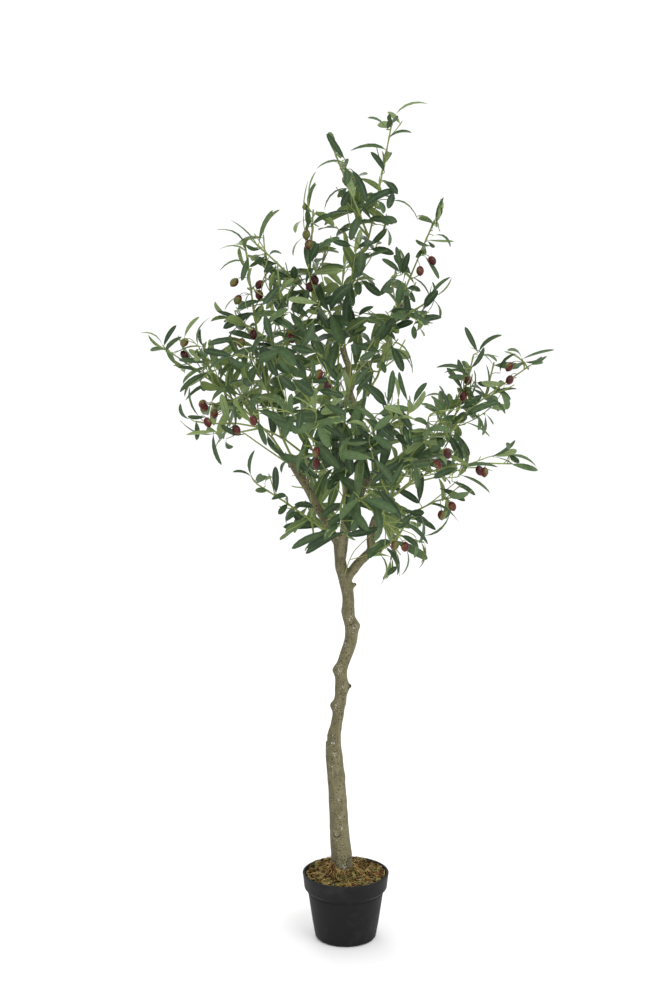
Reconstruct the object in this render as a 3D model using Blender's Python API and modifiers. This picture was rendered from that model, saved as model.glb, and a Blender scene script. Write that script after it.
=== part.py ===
# Artificial olive tree, 1.5 m tall, in a black plastic nursery pot.
# Run: blender --background --python part.py
#
# X runs to the right and +Y away from the front view, +Z is up.
# The origin is the centre of the pot's flat underside. Lengths are metres.

import math
import random

import bmesh
import bpy
import numpy as np
from mathutils import Matrix, Vector, noise
from mathutils.bvhtree import BVHTree

UP = Vector((0.0, 0.0, 1.0))
GOLDEN_ANGLE = math.radians(137.5)
GAP = 0.0003

# Pot: a thick rolled band over a tapering wall.
POT_HEIGHT = 0.121
POT_RIM_RADIUS = 0.079
POT_BAND_HEIGHT = 0.033
POT_BAND_FOOT_RADIUS = 0.0758
POT_NECK_RADIUS = 0.0695
POT_CHAMFER = 0.006
POT_BASE_RADIUS = 0.0563
POT_CORNER = 0.005
POT_WALL = 0.0022
POT_LIP = 0.0012
POT_FLOOR = 0.003
POT_STEPS = 32

# Cement fill and the dried moss over it.
FILL_TOP = 0.096
MOSS_EDGE_Z = 0.112
MOSS_EDGE_DROP = 0.003
MOSS_PEAK_RISE = 0.014
MOSS_PEAK_WIDTH = 0.034
MOSS_RIPPLE = 0.0022
MOSS_RINGS = 3

# Trunk centre line: x, y, z and radius where it bends or changes thickness.
TRUNK_SIDES = 10
TRUNK_STEP = 0.0165
TRUNK_KEEP_OUT = 0.0125
TRUNK_LINE = (
    (-0.006, 0.000, 0.0963, 0.0215),
    (-0.007, 0.000, 0.150, 0.0190),
    (-0.011, 0.001, 0.200, 0.0173),
    (-0.014, 0.002, 0.264, 0.0158),
    (-0.018, 0.001, 0.310, 0.0152),
    (-0.021, -0.001, 0.368, 0.0128),
    (-0.017, -0.002, 0.396, 0.0106),
    (-0.010, -0.001, 0.447, 0.0106),
    (-0.008, 0.002, 0.494, 0.0110),
    (-0.001, 0.004, 0.520, 0.0112),
    (0.009, 0.004, 0.548, 0.0120),
    (0.010, 0.002, 0.573, 0.0120),
    (0.005, 0.000, 0.596, 0.0113),
    (0.004, -0.001, 0.632, 0.0108),
    (-0.003, 0.000, 0.663, 0.0116),
    (-0.009, 0.001, 0.690, 0.0103),
    (-0.014, 0.001, 0.735, 0.0094),
)
# Knots on the trunk: height, bearing in degrees (0 is right, 270 the front),
# how far the knot stands out and half its height.
KNOTS = (
    (0.175, 300, 0.0018, 0.012),
    (0.243, 215, 0.0022, 0.010),
    (0.300, 340, 0.0020, 0.011),
    (0.374, 185, 0.0042, 0.007),
    (0.432, 175, 0.0050, 0.007),
    (0.436, 40, 0.0030, 0.009),
    (0.468, 5, 0.0062, 0.007),
    (0.497, 190, 0.0048, 0.008),
    (0.524, 280, 0.0024, 0.008),
    (0.570, 355, 0.0045, 0.010),
    (0.604, 150, 0.0022, 0.009),
    (0.653, 5, 0.0050, 0.006),
    (0.684, 230, 0.0020, 0.008),
)

# Boughs: centre line (x, y, z), radius at the root and at the cut tip, and short
# side spurs, each from a root to an end with its radius. The first carries a stem.
BOUGH_SIDES = 7
SPUR_SIDES = 6
BOUGH_STEP = 0.021
BOUGHS = {
    "right_bough": dict(
        line=((-0.003, 0.000, 0.655), (0.008, 0.000, 0.669), (0.022, -0.002, 0.688),
              (0.038, -0.004, 0.704), (0.0455, -0.005, 0.716), (0.0445, -0.006, 0.737),
              (0.048, -0.008, 0.759), (0.054, -0.010, 0.775)),
        root=0.0088, tip=0.0076,
        spurs=(((0.0455, -0.005, 0.716), (0.062, -0.012, 0.716), 0.0052),)),
    "left_bough": dict(
        line=((-0.013, 0.001, 0.724), (-0.028, 0.000, 0.750), (-0.038, -0.002, 0.769),
              (-0.057, -0.006, 0.803), (-0.070, -0.010, 0.830), (-0.084, -0.013, 0.851),
              (-0.098, -0.016, 0.877)),
        root=0.0078, tip=0.0070,
        spurs=(((-0.073, -0.011, 0.834), (-0.064, -0.022, 0.851), 0.0042),)),
    "upper_bough": dict(
        line=((-0.008, 0.006, 0.722), (0.004, 0.012, 0.755), (0.015, 0.015, 0.786),
              (0.029, 0.018, 0.822), (0.034, 0.018, 0.850), (0.030, 0.015, 0.890),
              (0.022, 0.012, 0.927), (0.016, 0.009, 0.970), (0.006, 0.006, 1.002),
              (0.006, 0.004, 1.035), (-0.001, 0.002, 1.058), (-0.006, 0.000, 1.076)),
        root=0.0078, tip=0.0058,
        spurs=(((0.015, 0.009, 0.968), (0.030, 0.004, 0.984), 0.0042),
               ((0.030, 0.018, 0.824), (0.043, 0.014, 0.846), 0.0066))),
    "back_bough": dict(
        line=((-0.008, 0.002, 0.690), (-0.004, 0.026, 0.716), (0.001, 0.052, 0.752),
              (0.004, 0.072, 0.796), (0.004, 0.090, 0.836)),
        root=0.0072, tip=0.0066,
        spurs=(((0.004, 0.072, 0.796), (0.022, 0.088, 0.806), 0.0044),)),
    "front_bough": dict(
        line=((-0.010, 0.000, 0.700), (-0.009, -0.020, 0.718), (-0.006, -0.040, 0.744),
              (-0.003, -0.054, 0.778)),
        root=0.0064, tip=0.0062,
        spurs=(((-0.0065, -0.038, 0.741), (-0.022, -0.052, 0.747), 0.0042),)),
}

# Twigs, leaves and olives. Angles and bearings are degrees, the roll is radians.
STEM_RADIUS = 0.0022
STEM_TIP_RADIUS = 0.0015
TWIG_RADIUS = 0.0016
TWIG_TIP_RADIUS = 0.0014
STEM_STEP = 0.050
TWIG_STEP = 0.050
SIDE_TWIG_START = 0.045
SIDE_TWIG_SPACING = 0.063
SIDE_TWIG_LENGTH = 0.120
SIDE_TWIG_TAPER = 0.70
SIDE_TWIG_ANGLES = (38, 58)
LEAF_START_ON_MAIN = 0.028
LEAF_START_ON_SIDE = 0.022
LEAF_SPACING = 0.037
LEAF_ANGLES = (35, 68)
LEAF_TIP_ANGLES = (0, 12)
LEAF_ROLL = 1.25
LEAF_LENGTH = 0.077
LEAF_WIDTH = 0.0210
LEAF_TIP_WIDTH = 0.0065
LEAF_THICKNESS = 0.0016
LEAF_WIDEST = 0.42
LEAF_NECK = 0.16
LEAF_ATTEMPTS = 3
OLIVE_LENGTH = 0.018
OLIVE_WIDTH = 0.014
STALK_LENGTH = 0.024
STALK_RADIUS = 0.0009
STALK_SPREAD = 32

# A mass's space reaches this far from its main twigs at their roots and tips,
# and ends half-way to the next mass, less a margin.
SPACE_AT_ROOT = 0.125
SPACE_AT_TIP = 0.062
SPACE_MARGIN = 0.0012
LIMB_CLEARANCE = 0.0012

# Foliage masses: the limb end that carries the stem, then for each main twig
# the point that it bends through and the point that its last leaf reaches.
# The first main twig is the stem. The others leave it at the fraction given.
# A pair of olives is a main twig, the share of its length and a bearing.
MASSES = {
    "foliage_top": dict(
        seat="upper_bough", seed=11, olives=(),
        twigs=((0.00, (0.040, -0.010, 1.276), (0.111, -0.020, 1.500)),
               (0.50, (0.018, -0.030, 1.315), (-0.034, -0.030, 1.446)),
               (0.45, (0.011, 0.045, 1.312), (0.035, 0.080, 1.431)))),
    "foliage_upper_left": dict(
        seat="upper_bough", seed=12, olives=((1, 0.60, 190), (0, 0.62, 190)),
        twigs=((0.00, (-0.070, -0.036, 1.171), (-0.203, -0.055, 1.295)),
               (0.30, (-0.061, -0.050, 1.228), (-0.054, -0.055, 1.358)),
               (0.55, (-0.139, 0.030, 1.210), (-0.151, 0.070, 1.324)))),
    "foliage_upper_right": dict(
        seat="upper_bough_spur", seed=13, olives=((0, 0.62, 350),),
        twigs=((0.00, (0.093, 0.004, 1.151), (0.174, 0.010, 1.343)),
               (0.42, (0.127, -0.050, 1.141), (0.185, -0.070, 1.194)),
               (0.35, (0.096, 0.085, 1.127), (0.149, 0.150, 1.238)))),
    "foliage_back_top": dict(
        seat="back_bough", seed=14, olives=(),
        twigs=((0.00, (-0.014, 0.130, 1.018), (-0.001, 0.150, 1.278)),
               (0.40, (-0.086, 0.170, 1.037), (-0.148, 0.215, 1.171)),
               (0.45, (0.076, 0.180, 1.037), (0.136, 0.235, 1.133)))),
    "foliage_left_high": dict(
        seat="left_bough", seed=15, olives=((0, 0.78, 180), (0, 0.52, 200)),
        twigs=((0.00, (-0.145, -0.050, 1.033), (-0.213, -0.065, 1.269)),
               (0.35, (-0.105, -0.080, 1.079), (-0.120, -0.110, 1.216)),
               (0.60, (-0.184, -0.045, 1.114), (-0.244, -0.050, 1.157)))),
    "foliage_left_far": dict(
        seat="left_bough", seed=16, olives=((0, 0.72, 185), (3, 0.60, 200)),
        twigs=((0.00, (-0.219, -0.010, 1.001), (-0.351, -0.015, 1.096)),
               (0.52, (-0.250, -0.030, 1.080), (-0.249, -0.040, 1.130)),
               (0.30, (-0.203, 0.080, 1.009), (-0.292, 0.150, 1.083)),
               (0.45, (-0.241, -0.040, 0.976), (-0.284, -0.060, 0.993)))),
    "foliage_left_low": dict(
        seat="left_bough_spur", seed=17, olives=((0, 0.42, 215),),
        twigs=((0.00, (-0.145, -0.075, 0.937), (-0.281, -0.110, 0.945)),
               (0.50, (-0.193, -0.095, 0.928), (-0.206, -0.110, 0.880)))),
    "foliage_low_left": dict(
        seat="front_bough_spur", seed=18, olives=(),
        twigs=((0.00, (-0.082, -0.085, 0.794), (-0.194, -0.100, 0.868)),
               (0.10, (-0.049, -0.095, 0.750), (-0.095, -0.110, 0.722)))),
    "foliage_front": dict(
        seat="front_bough", seed=19, olives=(),
        twigs=((0.00, (-0.009, -0.100, 0.892), (0.009, -0.140, 1.053)),
               (0.35, (-0.058, -0.160, 0.920), (-0.108, -0.230, 0.996)),
               (0.33, (0.047, -0.160, 0.912), (0.093, -0.220, 0.988)),
               (0.10, (-0.010, -0.110, 0.800), (-0.017, -0.150, 0.730)),
               (0.12, (0.036, -0.110, 0.806), (0.089, -0.150, 0.752)))),
    "foliage_right_far": dict(
        seat="right_bough", seed=20, olives=((1, 0.55, 250), (0, 0.76, 330)),
        twigs=((0.00, (0.187, -0.020, 0.940), (0.361, -0.030, 1.073)),
               (0.50, (0.213, -0.030, 1.019), (0.229, -0.035, 1.111)),
               (0.20, (0.091, -0.070, 0.942), (0.088, -0.090, 1.034)),
               (0.72, (0.257, -0.010, 1.033), (0.273, 0.010, 1.095)))),
    "foliage_right_mid": dict(
        seat="right_bough", seed=21, olives=((0, 0.45, 310), (0, 0.72, 280)),
        twigs=((0.00, (0.162, -0.070, 0.867), (0.332, -0.080, 0.875)),
               (0.30, (0.107, -0.120, 0.893), (0.162, -0.170, 0.946)),
               (0.20, (0.144, 0.050, 0.837), (0.233, 0.120, 0.850)))),
    "foliage_right_low": dict(
        seat="right_bough_spur", seed=22, olives=((0, 0.40, 330), (1, 0.30, 290)),
        twigs=((0.00, (0.126, -0.045, 0.795), (0.251, -0.070, 0.831)),
               (0.06, (0.100, -0.020, 0.736), (0.188, -0.030, 0.728)),
               (0.04, (0.083, 0.010, 0.710), (0.071, 0.010, 0.648)))),
    "foliage_back_left": dict(
        seat="back_bough", seed=23, olives=((0, 0.60, 120),),
        twigs=((0.00, (-0.086, 0.150, 0.848), (-0.232, 0.210, 0.941)),
               (0.30, (-0.068, 0.190, 0.806), (-0.138, 0.260, 0.820)))),
    "foliage_back_right": dict(
        seat="back_bough_spur", seed=24, olives=((0, 0.65, 60),),
        twigs=((0.00, (0.074, 0.125, 0.850), (0.199, 0.170, 0.961)),
               (0.25, (0.063, 0.165, 0.789), (0.128, 0.235, 0.773)),
               (0.40, (0.101, 0.100, 0.842), (0.195, 0.110, 0.832)))),
}


# Scene set-up

for old in list(bpy.data.objects):
    bpy.data.objects.remove(old, do_unlink=True)

parts = bpy.data.collections.new("olive_tree")
cutters = bpy.data.collections.new("cutters")
bpy.context.scene.collection.children.link(parts)
bpy.context.scene.collection.children.link(cutters)


def material(name, colour, roughness, metallic=0.0):
    """A Principled material with one colour."""
    made = bpy.data.materials.new(name)
    made.use_nodes = True
    shader = made.node_tree.nodes["Principled BSDF"]
    shader.inputs["Base Color"].default_value = (*colour, 1.0)
    shader.inputs["Roughness"].default_value = roughness
    shader.inputs["Metallic"].default_value = metallic
    made.diffuse_color = (*colour, 1.0)
    return made


POT_PLASTIC = material("pot_plastic", (0.012, 0.012, 0.012), 0.55)
CEMENT = material("cement", (0.32, 0.31, 0.29), 0.90)
DRIED_MOSS = material("dried_moss", (0.17, 0.15, 0.03), 0.95)
BARK = material("bark", (0.16, 0.125, 0.065), 0.75)
LEAF_GREEN = material("leaf_green", (0.045, 0.10, 0.035), 0.60)


def add_object(name, bm, finish, collection=parts):
    """Store a bmesh as a mesh object at the origin."""
    mesh = bpy.data.meshes.new(name)
    bm.to_mesh(mesh)
    bm.free()
    mesh.materials.append(finish)
    made = bpy.data.objects.new(name, mesh)
    collection.objects.link(made)
    if collection is cutters:
        made.hide_render = True
        made.display_type = "WIRE"
    return made


def flat_faces(bm):
    """The same solid with every face cut into triangles, so that none is warped."""
    bmesh.ops.triangulate(bm, faces=bm.faces, quad_method="FIXED")
    return bm


def apply_modifiers(target):
    """Replace a mesh by what its modifiers make of it."""
    graph = bpy.context.evaluated_depsgraph_get()
    target.data = bpy.data.meshes.new_from_object(target.evaluated_get(graph))
    target.modifiers.clear()


def boolean(target, operation, other=None, collection=None):
    """Cut or join with one object, or join with all of a collection."""
    modifier = target.modifiers.new(operation.lower(), "BOOLEAN")
    modifier.operation = operation
    modifier.solver = "EXACT"
    if collection is None:
        modifier.object = other
    else:
        modifier.operand_type = "COLLECTION"
        modifier.collection = collection
    apply_modifiers(target)


def keep_largest_body(target):
    """Drop loose scraps and fill sealed hollows: keep the widest shell."""
    bm = bmesh.new()
    bm.from_mesh(target.data)
    unseen = set(bm.verts)
    shells = []
    while unseen:
        queue = [unseen.pop()]
        shell = list(queue)
        while queue:
            vertex = queue.pop()
            for edge in vertex.link_edges:
                other = edge.other_vert(vertex)
                if other in unseen:
                    unseen.remove(other)
                    queue.append(other)
                    shell.append(other)
        shells.append(shell)
    shells.sort(key=len, reverse=True)
    for scrap in shells[1:]:
        bmesh.ops.delete(bm, geom=scrap, context="VERTS")
    bm.to_mesh(target.data)
    bm.free()
    return len(shells) - 1


# Lines and lofts

def hermite(start, start_slope, end, end_slope, t):
    """A point on the cubic from start to end."""
    t2, t3 = t * t, t * t * t
    return (start * (2 * t3 - 3 * t2 + 1) + start_slope * (t3 - 2 * t2 + t)
            + end * (3 * t2 - 2 * t3) + end_slope * (t3 - t2))


def smooth_line(points, step):
    """Even points along a smooth line through all the given ones."""
    points = [Vector(p) for p in points]
    dense = []
    for i in range(len(points) - 1):
        before = points[max(i - 1, 0)]
        after = points[min(i + 2, len(points) - 1)]
        a, b = points[i], points[i + 1]
        for k in range(12):
            dense.append(hermite(a, (b - before) * 0.5, b, (after - a) * 0.5, k / 12))
    dense.append(points[-1])
    return even_points(dense, step)


def length_of(line):
    return sum((b - a).length for a, b in zip(line, line[1:]))


def even_points(dense, step):
    """Points a whole number of even steps apart along a dense line."""
    lengths = [0.0]
    for a, b in zip(dense, dense[1:]):
        lengths.append(lengths[-1] + (b - a).length)
    count = max(2, round(lengths[-1] / step))
    even = []
    k = 0
    for i in range(count + 1):
        wanted = lengths[-1] * i / count
        while k < len(dense) - 2 and lengths[k + 1] < wanted:
            k += 1
        share = (wanted - lengths[k]) / max(lengths[k + 1] - lengths[k], 1e-9)
        even.append(dense[k].lerp(dense[k + 1], min(share, 1.0)))
    return even


class Limb:
    """An even centre line with its direction and one side vector at each point."""

    def __init__(self, line, first=None):
        self.line = line
        last = len(line) - 1
        self.directions = [(line[min(i + 1, last)] - line[max(i - 1, 0)]).normalized()
                           for i in range(last + 1)]
        if first is not None:
            self.directions[0] = first.copy()
        start = self.directions[0]
        side = Vector((1.0, 0.0, 0.0)) if abs(start.x) < 0.8 else Vector((0.0, 1.0, 0.0))
        self.sides = []
        for direction in self.directions:
            side = (side - direction * side.dot(direction)).normalized()
            self.sides.append(side)
        self.reach = length_of(line)

    def at(self, length):
        """The point, direction and side vector at a length along the line."""
        share = length / self.reach * (len(self.line) - 1)
        k = min(int(share), len(self.line) - 2)
        share -= k
        return (self.line[k].lerp(self.line[k + 1], share),
                self.directions[k].lerp(self.directions[k + 1], share).normalized(),
                self.sides[k].lerp(self.sides[k + 1], share).normalized())


def around(direction, side, bearing):
    """The unit vector square to a direction, turned by a bearing from its side."""
    return side * math.cos(bearing) + direction.cross(side) * math.sin(bearing)


def loft(limb, sides, radius_at):
    """A closed limb with one ring of points at each point of its line."""
    bm = bmesh.new()
    rings = []
    for i, centre in enumerate(limb.line):
        ring = []
        for k in range(sides):
            bearing = 2 * math.pi * k / sides
            out = around(limb.directions[i], limb.sides[i], bearing)
            ring.append(bm.verts.new(centre + out * radius_at(i, bearing)))
        rings.append(ring)
    for lower, upper in zip(rings, rings[1:]):
        for k in range(sides):
            n = (k + 1) % sides
            bm.faces.new((lower[k], lower[n], upper[n], upper[k]))
    bm.faces.new(reversed(rings[0]))
    bm.faces.new(rings[-1])
    return bm


# Pot, fill and moss

def turned(name, profile, finish):
    """A body turned about Z from an open profile that starts and ends on the axis."""
    bm = bmesh.new()
    verts = [bm.verts.new((r, 0.0, z)) for r, z in profile]
    for a, b in zip(verts, verts[1:]):
        bm.edges.new((a, b))
    made = add_object(name, bm, finish)
    screw = made.modifiers.new("turn", "SCREW")
    screw.axis = "Z"
    screw.steps = POT_STEPS
    screw.render_steps = POT_STEPS
    screw.use_merge_vertices = True
    screw.merge_threshold = 0.00001
    return made


def pot_inner_radius(z):
    """Radius of the pot's inner wall at a height."""
    band_foot = POT_HEIGHT - POT_BAND_HEIGHT
    if z > band_foot:
        share = (z - band_foot) / POT_BAND_HEIGHT
        return POT_NECK_RADIUS - POT_WALL + share * (POT_RIM_RADIUS - POT_NECK_RADIUS - 0.002)
    share = z / band_foot
    return POT_BASE_RADIUS - POT_WALL + share * (POT_NECK_RADIUS - POT_BASE_RADIUS)


def make_pot():
    band_foot = POT_HEIGHT - POT_BAND_HEIGHT
    corner = [(POT_BASE_RADIUS - POT_CORNER * (1 - math.cos(a)), POT_CORNER * (1 - math.sin(a)))
              for a in (0.0, math.radians(45), math.radians(90))]
    profile = [(0.0, POT_FLOOR), (pot_inner_radius(POT_FLOOR), POT_FLOOR),
               (pot_inner_radius(band_foot), band_foot),
               (pot_inner_radius(POT_HEIGHT), POT_HEIGHT - POT_LIP),
               (pot_inner_radius(POT_HEIGHT) + POT_LIP, POT_HEIGHT),
               (POT_RIM_RADIUS - POT_LIP, POT_HEIGHT), (POT_RIM_RADIUS, POT_HEIGHT - POT_LIP),
               (POT_BAND_FOOT_RADIUS, band_foot + POT_CHAMFER),
               (POT_BAND_FOOT_RADIUS - 0.0008, band_foot + POT_CHAMFER - 0.001),
               (POT_NECK_RADIUS, band_foot)]
    profile += corner + [(0.0, 0.0)]
    return turned("pot", profile, POT_PLASTIC)


def make_fill():
    floor = POT_FLOOR + GAP
    band_foot = POT_HEIGHT - POT_BAND_HEIGHT
    profile = [(0.0, FILL_TOP), (pot_inner_radius(FILL_TOP) - GAP, FILL_TOP),
               (pot_inner_radius(band_foot) - GAP, band_foot),
               (pot_inner_radius(floor) - GAP, floor), (0.0, floor)]
    return turned("fill", profile, CEMENT)


def moss_height(x, y):
    """The mound of moss, highest round the trunk, with soft ripples."""
    foot = Vector(TRUNK_LINE[0][:2])
    away = (Vector((x, y)) - foot).length
    rise = MOSS_PEAK_RISE * math.exp(-(away / MOSS_PEAK_WIDTH) ** 2)
    return MOSS_EDGE_Z + rise + MOSS_RIPPLE * noise.noise(Vector((x, y, 0.3)) * 55.0)


def make_moss():
    """Rings of points from the middle to the wall, over a flat underside."""
    bearings = [2 * math.pi * k / POT_STEPS for k in range(POT_STEPS)]
    edge_z = MOSS_EDGE_Z - MOSS_EDGE_DROP
    wall = pot_inner_radius(edge_z) - GAP
    bm = bmesh.new()
    rings = []
    for i in range(1, MOSS_RINGS):
        radius = wall * i / MOSS_RINGS
        ring = [(radius * math.cos(a), radius * math.sin(a)) for a in bearings]
        rings.append([bm.verts.new((x, y, moss_height(x, y))) for x, y in ring])
    foot_z = FILL_TOP + GAP
    for radius, z in ((wall, edge_z), (pot_inner_radius(foot_z) - GAP, foot_z)):
        rings.append([bm.verts.new((radius * math.cos(a), radius * math.sin(a), z))
                      for a in bearings])
    centre = bm.verts.new((0.0, 0.0, moss_height(0.0, 0.0)))
    for k in range(POT_STEPS):
        n = (k + 1) % POT_STEPS
        bm.faces.new((centre, rings[0][k], rings[0][n]))
        for inner, outer in zip(rings, rings[1:]):
            bm.faces.new((inner[k], outer[k], outer[n], inner[n]))
    bm.faces.new(list(reversed(rings[-1])))
    return add_object("moss", flat_faces(bm), DRIED_MOSS)


# Trunk and boughs

def trunk_body(name, grow, collection):
    """The knotted trunk, or with grow a cutter that much larger."""
    limb = Limb(smooth_line([p[:3] for p in TRUNK_LINE], TRUNK_STEP), UP)
    heights = [p.z for p in limb.line]
    radii = np.interp(heights, [p[2] for p in TRUNK_LINE], [p[3] for p in TRUNK_LINE])
    limb.line[0] = limb.line[0] - UP * grow
    limb.line[-1] = limb.line[-1] + limb.directions[-1] * grow

    def radius_at(i, bearing):
        radius = float(radii[i]) * (1 + 0.02 * math.sin(3 * bearing + 9 * i)) + grow
        for height, degrees, stand, spread in KNOTS:
            facing = max(0.0, math.cos(bearing - math.radians(degrees)))
            radius += stand * math.exp(-((heights[i] - height) / spread) ** 2) * facing ** 2
        return radius

    return add_object(name, flat_faces(loft(limb, TRUNK_SIDES, radius_at)), BARK, collection)


def tapered(spec):
    """A bough's centre line and its radius at each point."""
    limb = Limb(smooth_line(spec["line"], BOUGH_STEP))
    last = len(limb.line) - 1
    radii = [spec["root"] + (spec["tip"] - spec["root"]) * i / last for i in range(last + 1)]
    return limb, radii


def bough_body(name, spec, grow, collection):
    """One tapering limb with its short side spurs fused on."""
    limb, radii = tapered(spec)
    bm = loft(limb, BOUGH_SIDES, lambda i, bearing: radii[i] + grow)
    body = add_object(name, flat_faces(bm), BARK, collection)
    for root, end, radius in spec["spurs"]:
        root, end = Vector(root), Vector(end)
        short = Limb([root, root.lerp(end, 0.5), end])
        spur = add_object("spur", loft(short, SPUR_SIDES, lambda i, bearing: radius + grow),
                          BARK, cutters)
        boolean(body, "UNION", spur)
        bpy.data.objects.remove(spur, do_unlink=True)
    return body


def limb_ends():
    """Each limb end that can carry stems: its centre, direction and radius."""
    found = {}
    for name, spec in BOUGHS.items():
        limb, radii = tapered(spec)
        found[name] = (limb.line[-1], limb.directions[-1], radii[-1])
        root, end, radius = spec["spurs"][0]
        found[name + "_spur"] = (Vector(end), (Vector(end) - Vector(root)).normalized(), radius)
    return found


def limb_samples():
    """Close points along every limb with the radius to stay out of."""
    samples = [(p, TRUNK_KEEP_OUT) for p in smooth_line([p[:3] for p in TRUNK_LINE], 0.006)]
    for spec in BOUGHS.values():
        samples += [(p, spec["root"]) for p in smooth_line(spec["line"], 0.005)]
        for root, end, radius in spec["spurs"]:
            samples += [(Vector(root).lerp(Vector(end), k / 4), radius) for k in range(5)]
    return np.array([p[:] for p, radius in samples]), np.array([radius for p, radius in samples])


# Growth of a foliage mass

LIMB_ENDS = limb_ends()
LIMB_POINTS, LIMB_RADII = limb_samples()


def bend_through(start, slope, via, end):
    """An even line that leaves start along slope and bends through via to end."""
    middle = (end - start) * 0.5
    first = [hermite(start, slope * (via - start).length, via, middle, k / 14) for k in range(14)]
    second = [hermite(via, middle, end, end - via, k / 14) for k in range(15)]
    return even_points(first + second, STEM_STEP)


def main_twigs(spec):
    """The stem and the other main twigs of a mass, out to where their last leaves reach."""
    centre, axis, radius = LIMB_ENDS[spec["seat"]]
    shared = sum(other["seat"] == spec["seat"] for other in MASSES.values()) > 1
    lines = []
    for fraction, via, end in spec["twigs"]:
        via, end = Vector(via), Vector(end)
        if lines:
            stem = lines[0]
            at = max(1, round(fraction * (len(stem) - 1)))
            start, slope = stem[at], (stem[at + 1] - stem[at - 1]).normalized()
        else:
            lean = via - centre
            lean = (lean - axis * lean.dot(axis)).normalized()
            start, slope = centre + axis * GAP, axis
            if shared:
                start = start + lean * (radius - STEM_RADIUS)
        lines.append(bend_through(start, slope, via, end))
    return lines


MAIN_TWIGS = {name: main_twigs(spec) for name, spec in MASSES.items()}


def line_samples(lines):
    """Close points along some lines, with how far the space reaches round each."""
    points, reaches = [], []
    for line in lines:
        close = even_points(line, 0.012)
        for i, p in enumerate(close):
            points.append(p[:])
            reaches.append(SPACE_AT_ROOT + (SPACE_AT_TIP - SPACE_AT_ROOT) * i / (len(close) - 1))
    return np.array(points), np.array(reaches)


MAIN_SAMPLES = {name: line_samples(lines) for name, lines in MAIN_TWIGS.items()}


def distances(points, point):
    return np.sqrt(((points - np.array(point[:])) ** 2).sum(axis=1))


def in_own_space(name, point):
    """Whether a point is near its own mass's main twigs, and nearer than to any other's."""
    own, reaches = MAIN_SAMPLES[name]
    away = distances(own, point)
    if not (away < reaches).any():
        return False
    nearest = float(away.min()) + SPACE_MARGIN
    return all(nearest < distances(samples[0], point).min()
               for other, samples in MAIN_SAMPLES.items() if other != name)


def free(name, point):
    """Whether a point is in its mass's space and clear of every limb."""
    clear = (distances(LIMB_POINTS, point) - LIMB_RADII).min() > LIMB_CLEARANCE
    return bool(clear) and in_own_space(name, point)


def side_twig(name, root, along, side, bearing, length, rng):
    """A curved side twig, cut back to where it leaves its mass's space."""
    angle = math.radians(rng.uniform(*SIDE_TWIG_ANGLES))
    slope = along * math.cos(angle) + around(along, side, bearing) * math.sin(angle)
    rise = UP * rng.uniform(-0.10, 0.35)
    end = root + (slope * 0.75 + along * 0.25 + rise).normalized() * length
    dense = [hermite(root, slope * length, end, (along + rise) * length * 0.6, k / 12)
             for k in range(13)]
    kept = [dense[0]]
    for point in dense[1:]:
        if not free(name, point):
            break
        kept.append(point)
    return Limb(even_points(kept, TWIG_STEP)) if len(kept) > 3 else None


class Leaf:
    """A leaf's places: root, ridge, both edges where it is widest, and blunt tip."""

    def __init__(self, root, direction, roll, length, droop):
        normal = UP - direction * direction.dot(UP)
        if normal.length < 0.25:
            normal = Vector((0.0, -1.0, 0.0)) + direction * direction.y
        normal = Matrix.Rotation(roll, 3, direction) @ normal.normalized()
        side = direction.cross(normal)
        bent = Matrix.Rotation(-droop, 3, side) @ direction
        middle = root + direction * length * LEAF_WIDEST
        tip = middle + bent * length * (1 - LEAF_WIDEST)
        half = side * LEAF_WIDTH * length / LEAF_LENGTH / 2
        end = side * LEAF_TIP_WIDTH / 2
        self.root, self.direction = root, direction
        self.ridge = middle + normal * LEAF_THICKNESS
        self.left, self.right = middle - half, middle + half
        self.tip_left, self.tip_right = tip - end, tip + end
        self.places = (root.lerp(middle, 0.5), self.left, self.right,
                       middle.lerp(tip, 0.5), self.tip_left, self.tip_right)

    def blade(self):
        """A flat sheet over the leaf but for its neck, to find what it would cut."""
        corners = (self.root.lerp(self.left, LEAF_NECK / LEAF_WIDEST),
                   self.root.lerp(self.right, LEAF_NECK / LEAF_WIDEST),
                   self.left, self.right, self.tip_left, self.tip_right)
        return BVHTree.FromPolygons(corners, ((0, 1, 3, 2), (2, 3, 5, 4)))


def surface(bm):
    """The surface of a solid, to find what it would cut."""
    tree = BVHTree.FromBMesh(bm)
    bm.free()
    return tree


def add_leaf(name, leaves, taken, place, rng):
    """Try a few turns of a leaf: keep the first that touches nothing else."""
    root, along, side, bearing, angles = place
    for attempt in range(LEAF_ATTEMPTS):
        angle = math.radians(rng.uniform(*angles))
        out = around(along, side, bearing + rng.uniform(-0.35, 0.35))
        direction = (along * math.cos(angle) + out * math.sin(angle)).normalized()
        leaf = Leaf(root, direction, rng.uniform(-LEAF_ROLL, LEAF_ROLL),
                    LEAF_LENGTH * rng.uniform(0.75, 1.10), math.radians(rng.uniform(8, 40)))
        blade = leaf.blade()
        if (all(free(name, point) for point in leaf.places)
                and not any(blade.overlap(other) for other in taken)):
            leaves.append(leaf)
            taken.append(blade)
            return


def leaves_on(name, leaves, taken, twig, rng, first):
    """A leaf at the tip, then pairs of leaves that grow from the twig's flat sides."""
    tip = (twig.line[-1], twig.directions[-1], twig.sides[-1])
    add_leaf(name, leaves, taken, (*tip, 0.0, LEAF_TIP_ANGLES), rng)
    flat = rng.randrange(3)
    at = first
    while at < twig.reach - 0.004:
        for turn in (0, 1):
            bearing = math.radians(60 + 120 * (flat + turn))
            add_leaf(name, leaves, taken, (*twig.at(at), bearing, LEAF_ANGLES), rng)
        flat += 1
        at += LEAF_SPACING * rng.uniform(0.85, 1.2)


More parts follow.
